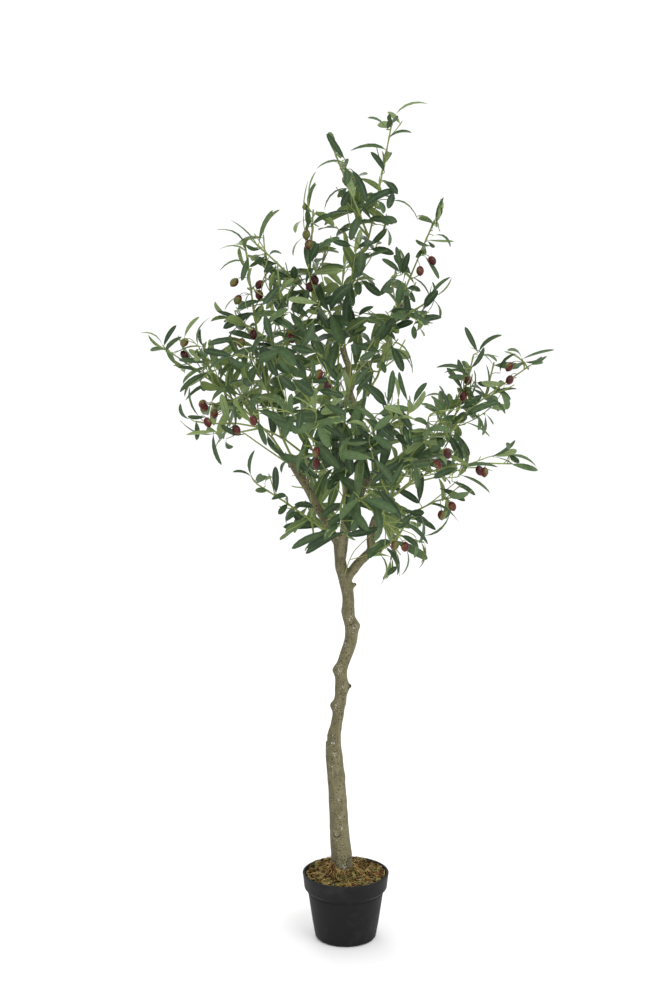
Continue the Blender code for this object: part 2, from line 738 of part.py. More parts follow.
def shortened(line, length):
    """A line that ends the given length earlier, where its last leaf starts."""
    close = even_points(line, 0.004)
    count = round(len(close) * (1 - length / length_of(line)))
    return even_points(close[:max(count, 4)], STEM_STEP)


def grow(name, spec):
    """All twigs, leaves and olives of one mass by one seeded rule."""
    rng = random.Random(spec["seed"])
    axis = LIMB_ENDS[spec["seat"]][1]
    lines = [shortened(line, LEAF_LENGTH * 0.85) for line in MAIN_TWIGS[name]]
    mains = [Limb(lines[0], axis)] + [Limb(line) for line in lines[1:]]
    twigs, leaves = [], []
    for main in mains:
        bearing = rng.uniform(0, 2 * math.pi)
        at = SIDE_TWIG_START
        while at < main.reach - 0.03:
            root, along, side = main.at(at)
            length = SIDE_TWIG_LENGTH * (1 - SIDE_TWIG_TAPER * at / main.reach)
            twig = side_twig(name, root, along, side, bearing, length * rng.uniform(0.8, 1.2), rng)
            if twig:
                twigs.append(twig)
            bearing += GOLDEN_ANGLE
            at += SIDE_TWIG_SPACING * rng.uniform(0.8, 1.2)
    taken = [surface(twig_mesh(main, STEM_TIP_RADIUS, STEM_TIP_RADIUS)) for main in mains]
    taken += [surface(twig_mesh(twig, TWIG_RADIUS, TWIG_RADIUS)) for twig in twigs]
    olives = hang_olives(spec, mains, taken)
    for main in mains:
        leaves_on(name, leaves, taken, main, rng, LEAF_START_ON_MAIN)
    for twig in twigs:
        leaves_on(name, leaves, taken, twig, rng, LEAF_START_ON_SIDE)
    return mains, twigs, leaves, olives


def hang_olives(spec, mains, taken):
    """Pairs of olives that hang on short stalks from the main twigs."""
    olives = []
    for number, share, degrees in spec["olives"]:
        root = mains[number].at(mains[number].reach * share)[0]
        for turn in (-STALK_SPREAD, STALK_SPREAD):
            bearing = math.radians(degrees + turn)
            out = Vector((math.cos(bearing), math.sin(bearing), -0.65)).normalized()
            centre = root + out * STALK_LENGTH
            taken.append(surface(olive_mesh(centre)))
            olives.append((root, centre))
    return olives


# Solids of a foliage mass

def twig_mesh(twig, radius, tip_radius):
    """A three-sided twig."""
    last = len(twig.line) - 1
    return loft(twig, 3, lambda i, bearing: radius + (tip_radius - radius) * i / last)


def leaf_mesh(leaf):
    """A leaf of eight faces: a ridge along its back, a bend, and a blunt tip."""
    bm = bmesh.new()
    root = bm.verts.new(leaf.root - leaf.direction * TWIG_TIP_RADIUS * 0.2)
    ridge, left, right, tip_left, tip_right = (bm.verts.new(p) for p in (
        leaf.ridge, leaf.left, leaf.right, leaf.tip_left, leaf.tip_right))
    for face in ((root, ridge, left), (root, right, ridge), (root, left, right),
                 (left, ridge, tip_left), (ridge, right, tip_right),
                 (ridge, tip_right, tip_left), (left, tip_left, tip_right, right)):
        bm.faces.new(face)
    bmesh.ops.recalc_face_normals(bm, faces=bm.faces)
    return bm


def olive_mesh(centre):
    """An olive, longer than wide, hanging upright."""
    bm = bmesh.new()
    size = Matrix.Diagonal((OLIVE_WIDTH / 2, OLIVE_WIDTH / 2, OLIVE_LENGTH / 2, 1.0))
    bmesh.ops.create_uvsphere(bm, u_segments=5, v_segments=3, radius=1.0,
                              matrix=Matrix.Translation(centre) @ size)
    return bm


def make_mass(name, spec):
    """Fuse the stem, twigs, leaves and olives of one mass into one solid."""
    mains, twigs, leaves, olives = grow(name, spec)
    body = add_object(name, twig_mesh(mains[0], STEM_RADIUS, STEM_TIP_RADIUS), LEAF_GREEN)
    joined = bpy.data.collections.new("joined")
    cutters.children.link(joined)
    for main in mains[1:]:
        add_object("twig", twig_mesh(main, STEM_RADIUS, STEM_TIP_RADIUS), LEAF_GREEN, joined)
    for twig in twigs:
        add_object("twig", twig_mesh(twig, TWIG_RADIUS, TWIG_TIP_RADIUS), LEAF_GREEN, joined)
    for leaf in leaves:
        add_object("leaf", leaf_mesh(leaf), LEAF_GREEN, joined)
    for root, centre in olives:
        stalk = Limb([root, centre])
        add_object("stalk", twig_mesh(stalk, STALK_RADIUS, STALK_RADIUS), LEAF_GREEN, joined)
        add_object("olive", olive_mesh(centre), LEAF_GREEN, joined)
    boolean(body, "UNION", collection=joined)
    for piece in list(joined.objects):
        bpy.data.objects.remove(piece, do_unlink=True)
    bpy.data.collections.remove(joined)
    scraps = keep_largest_body(body)
    print(name, "leaves", len(leaves), "side twigs", len(twigs), "olives", len(olives),
          "dropped", scraps, "faces", sum(len(f.vertices) - 2 for f in body.data.polygons))
    return body


# The tree

make_pot()
make_fill()
moss = make_moss()
trunk = trunk_body("trunk", 0.0, parts)
trunk_cutter = trunk_body("trunk_cutter", GAP, cutters)
boolean(moss, "DIFFERENCE", trunk_cutter)

limb_cutters = [trunk_cutter]
for name, spec in BOUGHS.items():
    bough = bough_body(name, spec, 0.0, parts)
    for cutter in limb_cutters:
        boolean(bough, "DIFFERENCE", cutter)
    keep_largest_body(bough)
    limb_cutters.append(bough_body(name + "_cutter", spec, GAP, cutters))

for name, spec in MASSES.items():
    make_mass(name, spec)

for made in parts.objects:
    made.data.shade_smooth()
    made.data.set_sharp_from_angle(angle=math.radians(40))
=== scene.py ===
# %% [markdown]
# A potted artificial olive tree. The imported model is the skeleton: it fixes every size and place.
# Here each of its solids gets its real surface: a turned pot, curled moss, a trunk with knots and
# bark, wired twigs, and leaves by the hundred. The first lines load that skeleton.

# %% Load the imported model
import math
import random

import bpy
import numpy as np
from mathutils import Matrix, Vector, kdtree, noise
from mathutils.bvhtree import BVHTree


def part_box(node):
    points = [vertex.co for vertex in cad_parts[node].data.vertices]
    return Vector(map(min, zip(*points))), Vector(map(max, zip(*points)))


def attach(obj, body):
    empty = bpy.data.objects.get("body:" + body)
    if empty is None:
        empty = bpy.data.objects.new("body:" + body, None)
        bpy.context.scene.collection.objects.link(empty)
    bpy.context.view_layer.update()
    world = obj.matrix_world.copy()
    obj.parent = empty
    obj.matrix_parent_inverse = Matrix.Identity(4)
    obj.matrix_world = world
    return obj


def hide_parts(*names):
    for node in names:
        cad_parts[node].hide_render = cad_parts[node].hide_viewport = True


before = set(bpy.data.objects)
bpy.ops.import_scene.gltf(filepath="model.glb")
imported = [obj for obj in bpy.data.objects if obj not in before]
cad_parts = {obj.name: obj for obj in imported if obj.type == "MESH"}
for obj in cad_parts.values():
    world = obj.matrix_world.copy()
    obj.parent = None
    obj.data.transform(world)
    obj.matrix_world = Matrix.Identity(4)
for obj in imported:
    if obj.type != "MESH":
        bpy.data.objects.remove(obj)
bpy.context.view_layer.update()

UP = Vector((0.0, 0.0, 1.0))
GOLDEN_ANGLE = math.radians(137.5)
QUARTER = math.pi / 2
FULL_TURN = 2 * math.pi

# %% [markdown]
# An operator in Blender acts on whatever is selected, and loading a model leaves it selected. So
# every step starts from an empty selection. A finished piece is tied to the body that it moves
# with, and the solids that it stands for are hidden. Blender wants metres, so the tables of
# places below, which are short to write in millimetres, pass through one function.

# %% Small helpers
def nothing_selected():
    """Leave edit mode and clear the selection."""
    if bpy.context.mode != "OBJECT":
        bpy.ops.object.mode_set(mode="OBJECT")
    bpy.ops.object.select_all(action="DESELECT")


def only(piece):
    """Make one object the selected and active one."""
    nothing_selected()
    piece.select_set(True)
    bpy.context.view_layer.objects.active = piece
    return piece


def apply_place(piece):
    """Move an object's place, turn and scale into its mesh."""
    only(piece)
    bpy.ops.object.transform_apply(location=True, rotation=True, scale=True)


def edit_all(piece, operator, **settings):
    """Run one mesh operator on all of a piece, as in edit mode."""
    only(piece)
    bpy.ops.object.mode_set(mode="EDIT")
    bpy.ops.mesh.select_all(action="SELECT")
    operator(**settings)
    bpy.ops.object.mode_set(mode="OBJECT")


def add_modifier(piece, kind, **settings):
    """Add one modifier, set it and apply it."""
    only(piece)
    modifier = piece.modifiers.new(kind.lower(), kind)
    for name, value in settings.items():
        setattr(modifier, name, value)
    bpy.ops.object.modifier_apply(modifier=modifier.name)


def join_into(piece, other):
    """Join another object's mesh into a piece."""
    only(piece)
    other.select_set(True)
    bpy.ops.object.join()


def metres(sizes):
    """Sizes in millimetres, alone or in rows, as metres."""
    if isinstance(sizes, dict):
        return {name: metres(size) for name, size in sizes.items()}
    if isinstance(sizes, (tuple, list)):
        return tuple(metres(size) for size in sizes)
    return round(sizes / 1000, 6)


def finish_piece(piece, nodes):
    """Tie a finished piece to the tree and hide the solids that it stands for."""
    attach(piece, "root")
    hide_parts(*nodes)
    triangles = sum(len(face.vertices) - 2 for face in piece.data.polygons)
    print(f"{piece.name}: {triangles} triangles")


# %% [markdown]
# The photo's camera stands 2.4 m off, at the height of the crown, and looks slightly down, with
# a lens that takes in the whole tree. A camera's turn starts from looking straight down, so 90
# degrees less the dip looks forward and a little down.

# %% Camera
CAMERA_PLACE = Vector((-0.0223, -2.4, 1.032))
CAMERA_DIP = math.radians(5.4)
CAMERA_LENS = 48.56

nothing_selected()
bpy.ops.object.camera_add(location=CAMERA_PLACE, rotation=(QUARTER - CAMERA_DIP, 0, 0))
camera = bpy.context.object
camera.name = "camera"
camera.data.lens = CAMERA_LENS
camera.data.sensor_width = 36
bpy.context.scene.camera = camera
print("camera dips", round(math.degrees(CAMERA_DIP), 2), "degrees")

# %% [markdown]
# A product photo like this one is lit from everywhere: a white sweep below, a white room around,
# and one large soft light above the camera that gives the leaves their gentle top light. Here
# the world is the white room, a large disk is the soft light, and a weaker one from behind lifts
# the rim of the crown. The plain view transform keeps white as white.

# %% Floor, room and lights
FLOOR_SIZE = 9.0
FLOOR_DROP = 0.0004
FLOOR_WHITE = 0.97
ROOM_LIGHT = 1.05
# Each light's name, place, aim, size and power.
LIGHTS = (("key", (1.5, -2.1, 3.4), (0.0, 0.0, 0.9), 2.6, 42.0),
          ("back", (-0.8, 3.0, 3.4), (0.0, 0.0, 0.6), 2.4, 30.0))

nothing_selected()
bpy.ops.mesh.primitive_plane_add(size=FLOOR_SIZE, location=(0, 0, -FLOOR_DROP))
floor = bpy.context.object
floor.name = "floor"
apply_place(floor)
white = bpy.data.materials.new("white_floor")
white.use_nodes = True
paint = white.node_tree.nodes["Principled BSDF"].inputs
paint["Base Color"].default_value = (FLOOR_WHITE, FLOOR_WHITE, FLOOR_WHITE, 1)
paint["Roughness"].default_value = 1.0
paint["Specular IOR Level"].default_value = 0.0
floor.data.materials.append(white)

room = bpy.data.worlds.new("white_room")
room.use_nodes = True
room.node_tree.nodes["Background"].inputs["Color"].default_value = (1.0, 1.0, 1.0, 1.0)
room.node_tree.nodes["Background"].inputs["Strength"].default_value = ROOM_LIGHT
bpy.context.scene.world = room
bpy.context.scene.view_settings.view_transform = "Standard"

for name, place, aim, size, power in LIGHTS:
    turn = (Vector(aim) - Vector(place)).to_track_quat("-Z", "Y").to_euler()
    nothing_selected()
    bpy.ops.object.light_add(type="AREA", location=place, rotation=turn)
    light = bpy.context.object
    light.name = name + "_light"
    light.data.shape = "DISK"
    light.data.size = size
    light.data.energy = power
print("lights:", [name for name, *rest in LIGHTS])

# %% [markdown]
# Colours below are given as they look on a screen, in 255 steps, because that is how one reads
# them off a thing. A shader wants them linear, so a helper turns them. A plain material has one
# colour. A patterned one hands back its nodes, so that each finish can be built on top of it.

# %% Materials: helpers
def linear(red, green, blue):
    """A colour as seen on a screen, in the linear values that a shader takes."""
    return tuple(((v / 255 + 0.055) / 1.055) ** 2.4 if v > 10 else v / 255 / 12.92
                 for v in (red, green, blue))


def plain(name, colour, roughness, **sockets):
    """A material of one colour, with any other socket of the shader by its name."""
    made = bpy.data.materials.new(name)
    made.use_nodes = True
    inputs = made.node_tree.nodes["Principled BSDF"].inputs
    inputs["Base Color"].default_value = (*linear(*colour), 1)
    inputs["Roughness"].default_value = roughness
    for socket, value in sockets.items():
        inputs[socket.replace("_", " ")].default_value = value
    made.diffuse_color = (*linear(*colour), 1)
    return made


def palette(name, tones, roughness, **sockets):
    """A plain material for each tone, with its number in its name."""
    return [plain(f"{name}_{i}", tone, roughness, **sockets) for i, tone in enumerate(tones)]


class Pattern:
    """A node material under construction, with short words for the usual nodes."""

    def __init__(self, name, colour, roughness):
        self.material = plain(name, colour, roughness)
        self.nodes = self.material.node_tree.nodes
        self.links = self.material.node_tree.links
        self.shader = self.nodes["Principled BSDF"]
        self.place = self.nodes.new("ShaderNodeTexCoord").outputs["Object"]

    def add(self, kind, wired, source, **values):
        """One node of a kind, with one input wired to a source and others set by their names."""
        node = self.nodes.new("ShaderNode" + kind)
        for socket, value in values.items():
            node.inputs[socket.replace("_", " ")].default_value = value
        self.links.new(source, node.inputs[wired])
        return node

    def stretched(self, scale):
        """The place on the object, stretched along its axes."""
        return self.add("Mapping", "Vector", self.place, Scale=scale).outputs["Vector"]

    def noise(self, scale, detail=3.0, roughness=0.55, place=None):
        """Cloudy noise between 0 and 1."""
        return self.add("TexNoise", "Vector", place or self.place, Scale=scale, Detail=detail,
                        Roughness=roughness).outputs["Fac"]

    def attribute(self, name):
        """A value that the mesh carries at each point."""
        node = self.nodes.new("ShaderNodeAttribute")
        node.attribute_name = name
        return node.outputs["Fac"]

    def ramp(self, value, low, high):
        """0 below low, 1 above high, and a smooth step between."""
        node = self.add("MapRange", "Value", value, From_Min=low, From_Max=high)
        node.interpolation_type = "SMOOTHSTEP"
        return node.outputs["Result"]

    def between(self, value, low, high):
        """A number that runs from low to high as the value runs from 0 to 1."""
        return self.add("MapRange", "Value", value, To_Min=low, To_Max=high).outputs["Result"]

    def mix(self, share, first, second):
        """A blend of two colours, each given as seen or as another node's output."""
        node = self.add("Mix", "Factor", share)
        node.data_type = "RGBA"
        for socket, colour in ((node.inputs[6], first), (node.inputs[7], second)):
            if isinstance(colour, tuple):
                socket.default_value = (*linear(*colour), 1)
            else:
                self.links.new(colour, socket)
        return node.outputs[2]

    def sum(self, first, second):
        """Two values added up."""
        node = self.add("Math", 0, first)
        node.operation = "ADD"
        self.links.new(second, node.inputs[1])
        return node.outputs["Value"]

    def wire(self, socket, value):
        """Feed one socket of the shader."""
        self.links.new(value, self.shader.inputs[socket])

    def bump(self, height, distance):
        """Fine relief on top of the mesh."""
        self.wire("Normal", self.add("Bump", "Height", height, Distance=distance).outputs["Normal"])


print("material helpers ready")

# %% [markdown]
# The pot is a plain nursery pot: blow-moulded or injected black plastic with a thick rolled band,
# a thin raised line under the band and rounded bottom corners. A turned shape could be a profile
# with a Screw modifier. Here it is drawn up as by hand: one circle, extruded and resized ring by
# ring, up the outside, over the lip and down the inside.

# %% Pot: sizes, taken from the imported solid
pot_low, pot_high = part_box("pot")
POT_HEIGHT = pot_high.z
POT_RIM = 0.079
POT_BAND_FOOT = 0.0758
POT_NECK = 0.0695
POT_BASE = 0.0563
POT_WALL = 0.0022
POT_FLOOR = 0.003
POT_CORNER = 0.005
POT_LIP = 0.0014
BAND_FOOT_Z = POT_HEIGHT - 0.033
CHAMFER = 0.006
LINE_Z = BAND_FOOT_Z - 0.0042
LINE_HALF = 0.0007
LINE_PROUD = 0.0005
POT_STEPS = 96
print("pot:", round(pot_high.x - pot_low.x, 4), "m wide,", round(POT_HEIGHT, 4), "m tall")


def pot_inner_radius(z):
    """Radius of the inner wall at a height."""
    if z > BAND_FOOT_Z:
        share = (z - BAND_FOOT_Z) / (POT_HEIGHT - BAND_FOOT_Z)
        return POT_NECK - POT_WALL + share * (POT_RIM - POT_NECK - 0.002)
    return POT_BASE - POT_WALL + z / BAND_FOOT_Z * (POT_NECK - POT_BASE)


def wall_radius(z):
    """Radius of the outer wall below the band."""
    return POT_BASE + z / BAND_FOOT_Z * (POT_NECK - POT_BASE)


def arc(radius_at, z_at, size, first, last, steps):
    """Points of a rounded edge: the middle of its circle, its size and its angles in degrees."""
    angles = [math.radians(first + (last - first) * k / steps) for k in range(steps + 1)]
    return [(radius_at + size * math.cos(a), z_at + size * math.sin(a)) for a in angles]


# %% Pot: draw it up ring by ring
def drawn_up(name, profile, steps):
    """A circle extruded and resized through every ring of a profile, from one face to the last."""
    radius, z = profile[0]
    nothing_selected()
    bpy.ops.mesh.primitive_circle_add(vertices=steps, radius=radius, fill_type="NGON",
                                      location=(0, 0, z))
    made = bpy.context.object
    made.name = name
    apply_place(made)
    bpy.ops.object.mode_set(mode="EDIT")
    bpy.ops.mesh.select_all(action="SELECT")
    for (before, low), (after, high) in zip(profile, profile[1:]):
        bpy.ops.mesh.extrude_region_move(TRANSFORM_OT_translate={"value": (0, 0, high - low)})
        size = after / before
        bpy.ops.transform.resize(value=(size, size, 1), center_override=(0, 0, high))
    edit_all(made, bpy.ops.mesh.normals_make_consistent, inside=False)
    return made


def pot_profile():
    """Outside from the underside up, over the rolled lip, and down the inside to the floor."""
    corner = arc(POT_BASE - POT_CORNER, POT_CORNER, POT_CORNER, -90, 0, 4)
    heights = (0.03, 0.055, LINE_Z - 2 * LINE_HALF, LINE_Z - LINE_HALF)
    wall = [(wall_radius(z), z) for z in heights]
    line = wall_radius(LINE_Z)
    band_z = BAND_FOOT_Z + CHAMFER
    band = [(line + LINE_PROUD, LINE_Z - LINE_HALF / 2), (line + LINE_PROUD, LINE_Z + LINE_HALF / 2),
            (line + 0.0001, LINE_Z + LINE_HALF), (POT_NECK, BAND_FOOT_Z - 0.0004),
            (POT_NECK + 0.0006, BAND_FOOT_Z), (POT_BAND_FOOT - 0.001, band_z - 0.0012),
            (POT_BAND_FOOT - 0.0002, band_z - 0.0002), (POT_BAND_FOOT + 0.0001, band_z + 0.001),
            (POT_RIM - 0.0006, POT_HEIGHT - 2.4 * POT_LIP)]
    lip = arc(POT_RIM - POT_LIP, POT_HEIGHT - POT_LIP, POT_LIP, 0, 90, 5)
    inner = pot_inner_radius(POT_HEIGHT)
    roll = [(inner + POT_LIP * (1 - math.sin(math.radians(a))),
             POT_HEIGHT - POT_LIP * (1 - math.cos(math.radians(a)))) for a in (0, 30, 60, 90)]
    inside = [(pot_inner_radius(z), z) for z in (0.108, BAND_FOOT_Z, 0.045, POT_FLOOR + 0.002)]
    underside = (POT_BASE - POT_CORNER - 0.002, 0.0)
    pot_floor = (pot_inner_radius(0) - 0.002, POT_FLOOR)
    return [underside, *corner, *wall, *band, *lip, *roll, *inside, pot_floor]


pot = drawn_up("nursery_pot", pot_profile(), POT_STEPS)
only(pot)
bpy.ops.object.shade_smooth_by_angle(angle=math.radians(38))
print("pot rings:", len(pot_profile()))

# %% [markdown]
# Black nursery plastic isn't quite black: it is charcoal, dull with a soft sheen, and handled
# pots carry a little pale dust. Cloudy noise at two sizes gives the dust, and the larger pale
# smudges also stand in for a faint painted sheen on the wall. A very fine grain in the bump gives
# the moulded skin.

# %% Pot: finish
charcoal = Pattern("pot_plastic", (27, 27, 28), 0.58)
charcoal.shader.inputs["Specular IOR Level"].default_value = 0.15
# Pale smudges: dust, and also a faint painted sheen on the wall.
dust_and_sheen = charcoal.ramp(charcoal.noise(17, 5.0, 0.62), 0.53, 0.72)
specks = charcoal.ramp(charcoal.noise(420, 2.0), 0.66, 0.80)
skin = charcoal.mix(dust_and_sheen, (23, 23, 24), (38, 38, 38))
charcoal.wire("Base Color", charcoal.mix(specks, skin, (42, 41, 40)))
charcoal.wire("Roughness", charcoal.between(charcoal.noise(30, 4.0), 0.48, 0.66))
charcoal.bump(charcoal.noise(900, 2.0), 0.00012)
pot.data.materials.append(charcoal.material)
finish_piece(pot, ["pot"])

# %% [markdown]
# The cement that weights the pot is hidden under the moss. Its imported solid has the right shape,
# so it keeps it and only gets a finish: grey with sand in it, pitted and quite dull.

# %% Fill: finish
sandy = Pattern("cement", (150, 148, 142), 0.92)
grains = sandy.ramp(sandy.noise(520, 2.0), 0.40, 0.66)
clouds = sandy.mix(sandy.noise(28, 4.0), (136, 134, 128), (166, 164, 158))
sandy.wire("Base Color", sandy.mix(grains, (112, 109, 101), clouds))
sandy.bump(sandy.noise(300, 5.0), 0.0006)
frame_fill = bpy.data.objects["fill"]
for slot in frame_fill.material_slots:
    slot.material = sandy.material
print("fill slots:", len(frame_fill.material_slots))

# %% [markdown]
# Everything that grows here follows lines: the trunk, its boughs, the twigs and each leaf. A few
# functions make such lines. The first gives a point on a smooth curve between two ends with
# given slopes, the next ones space points evenly, and a limb also carries directions along it.
# The last one makes a mesh of tubes along such lines.

# %% Lines and limbs
def hermite(start, start_slope, end, end_slope, t):
    """A point on the cubic from start to end."""
    t2, t3 = t * t, t * t * t
    return (start * (2 * t3 - 3 * t2 + 1) + start_slope * (t3 - 2 * t2 + t)
            + end * (3 * t2 - 2 * t3) + end_slope * (t3 - t2))


def length_of(line):
    """How long a line is from point to point."""
    return sum((b - a).length for a, b in zip(line, line[1:]))


def even_points(dense, step):
    """Points a whole number of even steps apart along a dense line."""
    lengths = [0.0]
    for a, b in zip(dense, dense[1:]):
        lengths.append(lengths[-1] + (b - a).length)
    count = max(2, round(lengths[-1] / step))
    even = []
    k = 0
    for i in range(count + 1):
        wanted = lengths[-1] * i / count
        while k < len(dense) - 2 and lengths[k + 1] < wanted:
            k += 1
        share = (wanted - lengths[k]) / max(lengths[k + 1] - lengths[k], 1e-9)
        even.append(dense[k].lerp(dense[k + 1], min(share, 1.0)))
    return even


def smooth_line(points, step):
    """Even points along a smooth line through all the given ones."""
    points = [Vector(p) for p in points]
    dense = []
    for i in range(len(points) - 1):
        before = points[max(i - 1, 0)]
        after = points[min(i + 2, len(points) - 1)]
        a, b = points[i], points[i + 1]
        for k in range(12):
            dense.append(hermite(a, (b - before) * 0.5, b, (after - a) * 0.5, k / 12))
    dense.append(points[-1])
    return even_points(dense, step)


class Limb:
    """An even centre line with its direction and one side vector at each point."""

    def __init__(self, line, first=None):
        self.line = line
        last = len(line) - 1
        self.directions = [(line[min(i + 1, last)] - line[max(i - 1, 0)]).normalized()
                           for i in range(last + 1)]
        if first is not None:
            self.directions[0] = first.copy()
        start = self.directions[0]
        side = Vector((1.0, 0.0, 0.0)) if abs(start.x) < 0.8 else Vector((0.0, 1.0, 0.0))
        self.sides = []
        for direction in self.directions:
            side = (side - direction * side.dot(direction)).normalized()
            self.sides.append(side)
        self.reach = length_of(line)

    def at(self, length):
        """The point, direction and side vector at a length along the line."""
        share = length / self.reach * (len(self.line) - 1)
        k = min(int(share), len(self.line) - 2)
        share -= k
        return (self.line[k].lerp(self.line[k + 1], share),
                self.directions[k].lerp(self.directions[k + 1], share).normalized(),
                self.sides[k].lerp(self.sides[k + 1], share).normalized())


def around(direction, side, bearing):
    """The unit vector square to a direction, turned by a bearing from its side."""
    return side * math.cos(bearing) + direction.cross(side) * math.sin(bearing)


def tubes(name, lines, sides_step, caps=True, finishes=()):
    """One mesh of many tubes. Each line is its points, a radius at each, and a finish number."""
    curve = bpy.data.curves.new(name, "CURVE")
    curve.dimensions = "3D"
    curve.bevel_depth = 1.0
    curve.bevel_resolution = sides_step
    curve.use_fill_caps = caps
    curve.twist_mode = "MINIMUM"
    for finish in finishes:
        curve.materials.append(finish)
    for points, radii, finish in lines:
        spline = curve.splines.new("POLY")
        spline.points.add(len(points) - 1)
        spline.points.foreach_set("co", [v for p in points for v in (*p, 1.0)])
        spline.points.foreach_set("radius", list(radii))
        spline.material_index = finish
    made = bpy.data.objects.new(name, curve)
    bpy.context.scene.collection.objects.link(made)
    only(made)
    bpy.ops.object.convert(target="MESH")
    made = bpy.context.object
    edit_all(made, bpy.ops.mesh.remove_doubles, threshold=0.00001)
    edit_all(made, bpy.ops.mesh.normals_make_consistent, inside=False)
    return made


quarter_circle = smooth_line([(math.cos(a), math.sin(a), 0) for a in (0, 0.52, 1.05, 1.57)], 0.1)
print("a quarter circle of 1 m is", round(length_of(quarter_circle), 3), "m long")

# %% [markdown]
# The trunk is moulded bark over a core: slim, bent, with knots and cut stubs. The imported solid
# gives its centre line and its thickness at each bend, repeated here with the boughs. A sculptor
# would build it of rough limbs, fuse them into one skin, smooth it, and only then cut the bark.

# %% Trunk and boughs: centre lines
# Trunk: x, y, z and radius where it bends or changes thickness.
TRUNK_LINE = metres(((-6, 0, 96.3, 21.5), (-7.5, 0, 150, 19.6), (-11.5, 1, 200, 18.1),
                     (-14.7, 2, 264, 16.4), (-18, 1, 310, 15.2), (-21, -1, 368, 12.8),
                     (-17, -2, 396, 10.6), (-10, -1, 447, 10.6), (-8, 2, 494, 11), (-1, 4, 520, 11.2),
                     (9, 4, 548, 12), (10, 2, 573, 12), (5, 0, 596, 11.3), (4, -1, 632, 10.8),
                     (-3, 0, 663, 11.6), (-9, 1, 690, 10.3), (-14, 1, 735, 9.4)))
# Knots: height, bearing in degrees (0 is right, 270 the front), how far out, half height.
KNOTS = ((0.178, 285, 0.0016, 0.012), (0.243, 215, 0.0022, 0.01), (0.3, 340, 0.0018, 0.011),
         (0.376, 190, 0.0012, 0.008), (0.432, 175, 0.0052, 0.009), (0.436, 40, 0.003, 0.01),
         (0.465, 5, 0.0042, 0.013), (0.497, 190, 0.005, 0.01), (0.524, 280, 0.0024, 0.009),
         (0.579, 350, 0.0044, 0.01), (0.604, 150, 0.0022, 0.01), (0.653, 5, 0.0024, 0.008),
         (0.684, 230, 0.002, 0.009))
# Cut stubs on the trunk: root, end and radius.
STUBS = metres((
    ((-4, 0, 466), (5.4, -3, 468), 6.6),
    ((3, 0, 646), (16.5, -4, 654.5), 7),
))
# Boughs: radius at the root and at the cut tip, centre line, and spurs.
BOUGHS = metres({
    "right_bough": dict(root=8.8, tip=7.6, line=(
        (-3, 0, 655), (7.5, 0, 671), (21, -2, 690), (37, -4, 706.5), (45.5, -5, 716), (44.5, -6, 737),
        (48, -8, 759), (54, -10, 775)),
        spurs=(((45.5, -5, 716), (62, -12, 716), 5.2),)),
    "left_bough": dict(root=7.8, tip=7, line=(
        (-13, 1, 724), (-28, 0, 750), (-38, -2, 769), (-57, -6, 803), (-70, -10, 830), (-84, -13, 851),
        (-98, -16, 877)),
        spurs=(((-73, -11, 834), (-64, -22, 851), 4.2),)),
    "upper_bough": dict(root=7.8, tip=5.8, line=(
        (-8, 6, 722), (4, 12, 755), (15, 15, 786), (29, 18, 822), (34, 18, 850), (30, 15, 890),
        (22, 12, 927), (16, 9, 970), (6, 6, 1002), (6, 4, 1035), (-1, 2, 1058), (-6, 0, 1076)),
        spurs=(((15, 9, 968), (30, 4, 984), 4.2), ((30, 18, 824), (43, 14, 846), 6.6))),
    "back_bough": dict(root=7.2, tip=6.6, line=(
        (-8, 2, 690), (-4, 26, 716), (1, 52, 752), (4, 72, 796), (4, 90, 836)),
        spurs=(((4, 72, 796), (22, 88, 806), 4.4),)),
    "front_bough": dict(root=6.4, tip=6.2, line=(
        (-10, 0, 700), (-9, -20, 718), (-6, -40, 744), (-3, -54, 778)),
        spurs=(((-6.5, -38, 741), (-22, -52, 747), 4.2),)),
})
LIMB_STEP = 0.008


def trunk_limb():
    """The trunk's centre line and its radius at each point."""
    limb = Limb(smooth_line([p[:3] for p in TRUNK_LINE], LIMB_STEP), UP)
    radii = np.interp([p.z for p in limb.line], [p[2] for p in TRUNK_LINE],
                      [p[3] for p in TRUNK_LINE])
    return limb, [float(r) for r in radii]


def bough_limb(spec):
    """A bough's centre line and its radius at each point."""
    limb = Limb(smooth_line(spec["line"], LIMB_STEP))
    last = len(limb.line) - 1
    return limb, [spec["root"] + (spec["tip"] - spec["root"]) * i / last for i in range(last + 1)]


trunk_line, trunk_radii = trunk_limb()
print("trunk:", round(trunk_line.reach, 3), "m long;", len(BOUGHS), "boughs")

# %% Trunk and boughs: rough limbs and one skin
SKIN_VOXEL = 0.0013
STUB_NARROW = 0.52
SPUR_NARROW = 0.12


def rough_limbs():
    """Tubes for the trunk, its stubs, the boughs and their spurs."""
    lines = [(trunk_line.line, trunk_radii, 0)]
    short = list(STUBS)
    for spec in BOUGHS.values():
        limb, radii = bough_limb(spec)
        lines.append((limb.line, radii, 0))
        short += spec["spurs"]
    for root, end, radius in short:
        points = smooth_line((root, Vector(root).lerp(Vector(end), 0.5), end), 0.004)
        last = len(points) - 1
        narrow = STUB_NARROW if (root, end, radius) in STUBS else SPUR_NARROW
        lines.append((points, [radius * (1 - narrow * i / last) for i in range(last + 1)], 0))
    return tubes("bark", lines, 4)


bark = rough_limbs()
only(bark)
bark.data.remesh_voxel_size = SKIN_VOXEL
bpy.ops.object.voxel_remesh()
add_modifier(bark, "SMOOTH", factor=0.5, iterations=6)
print("bark skin:", len(bark.data.polygons), "faces")
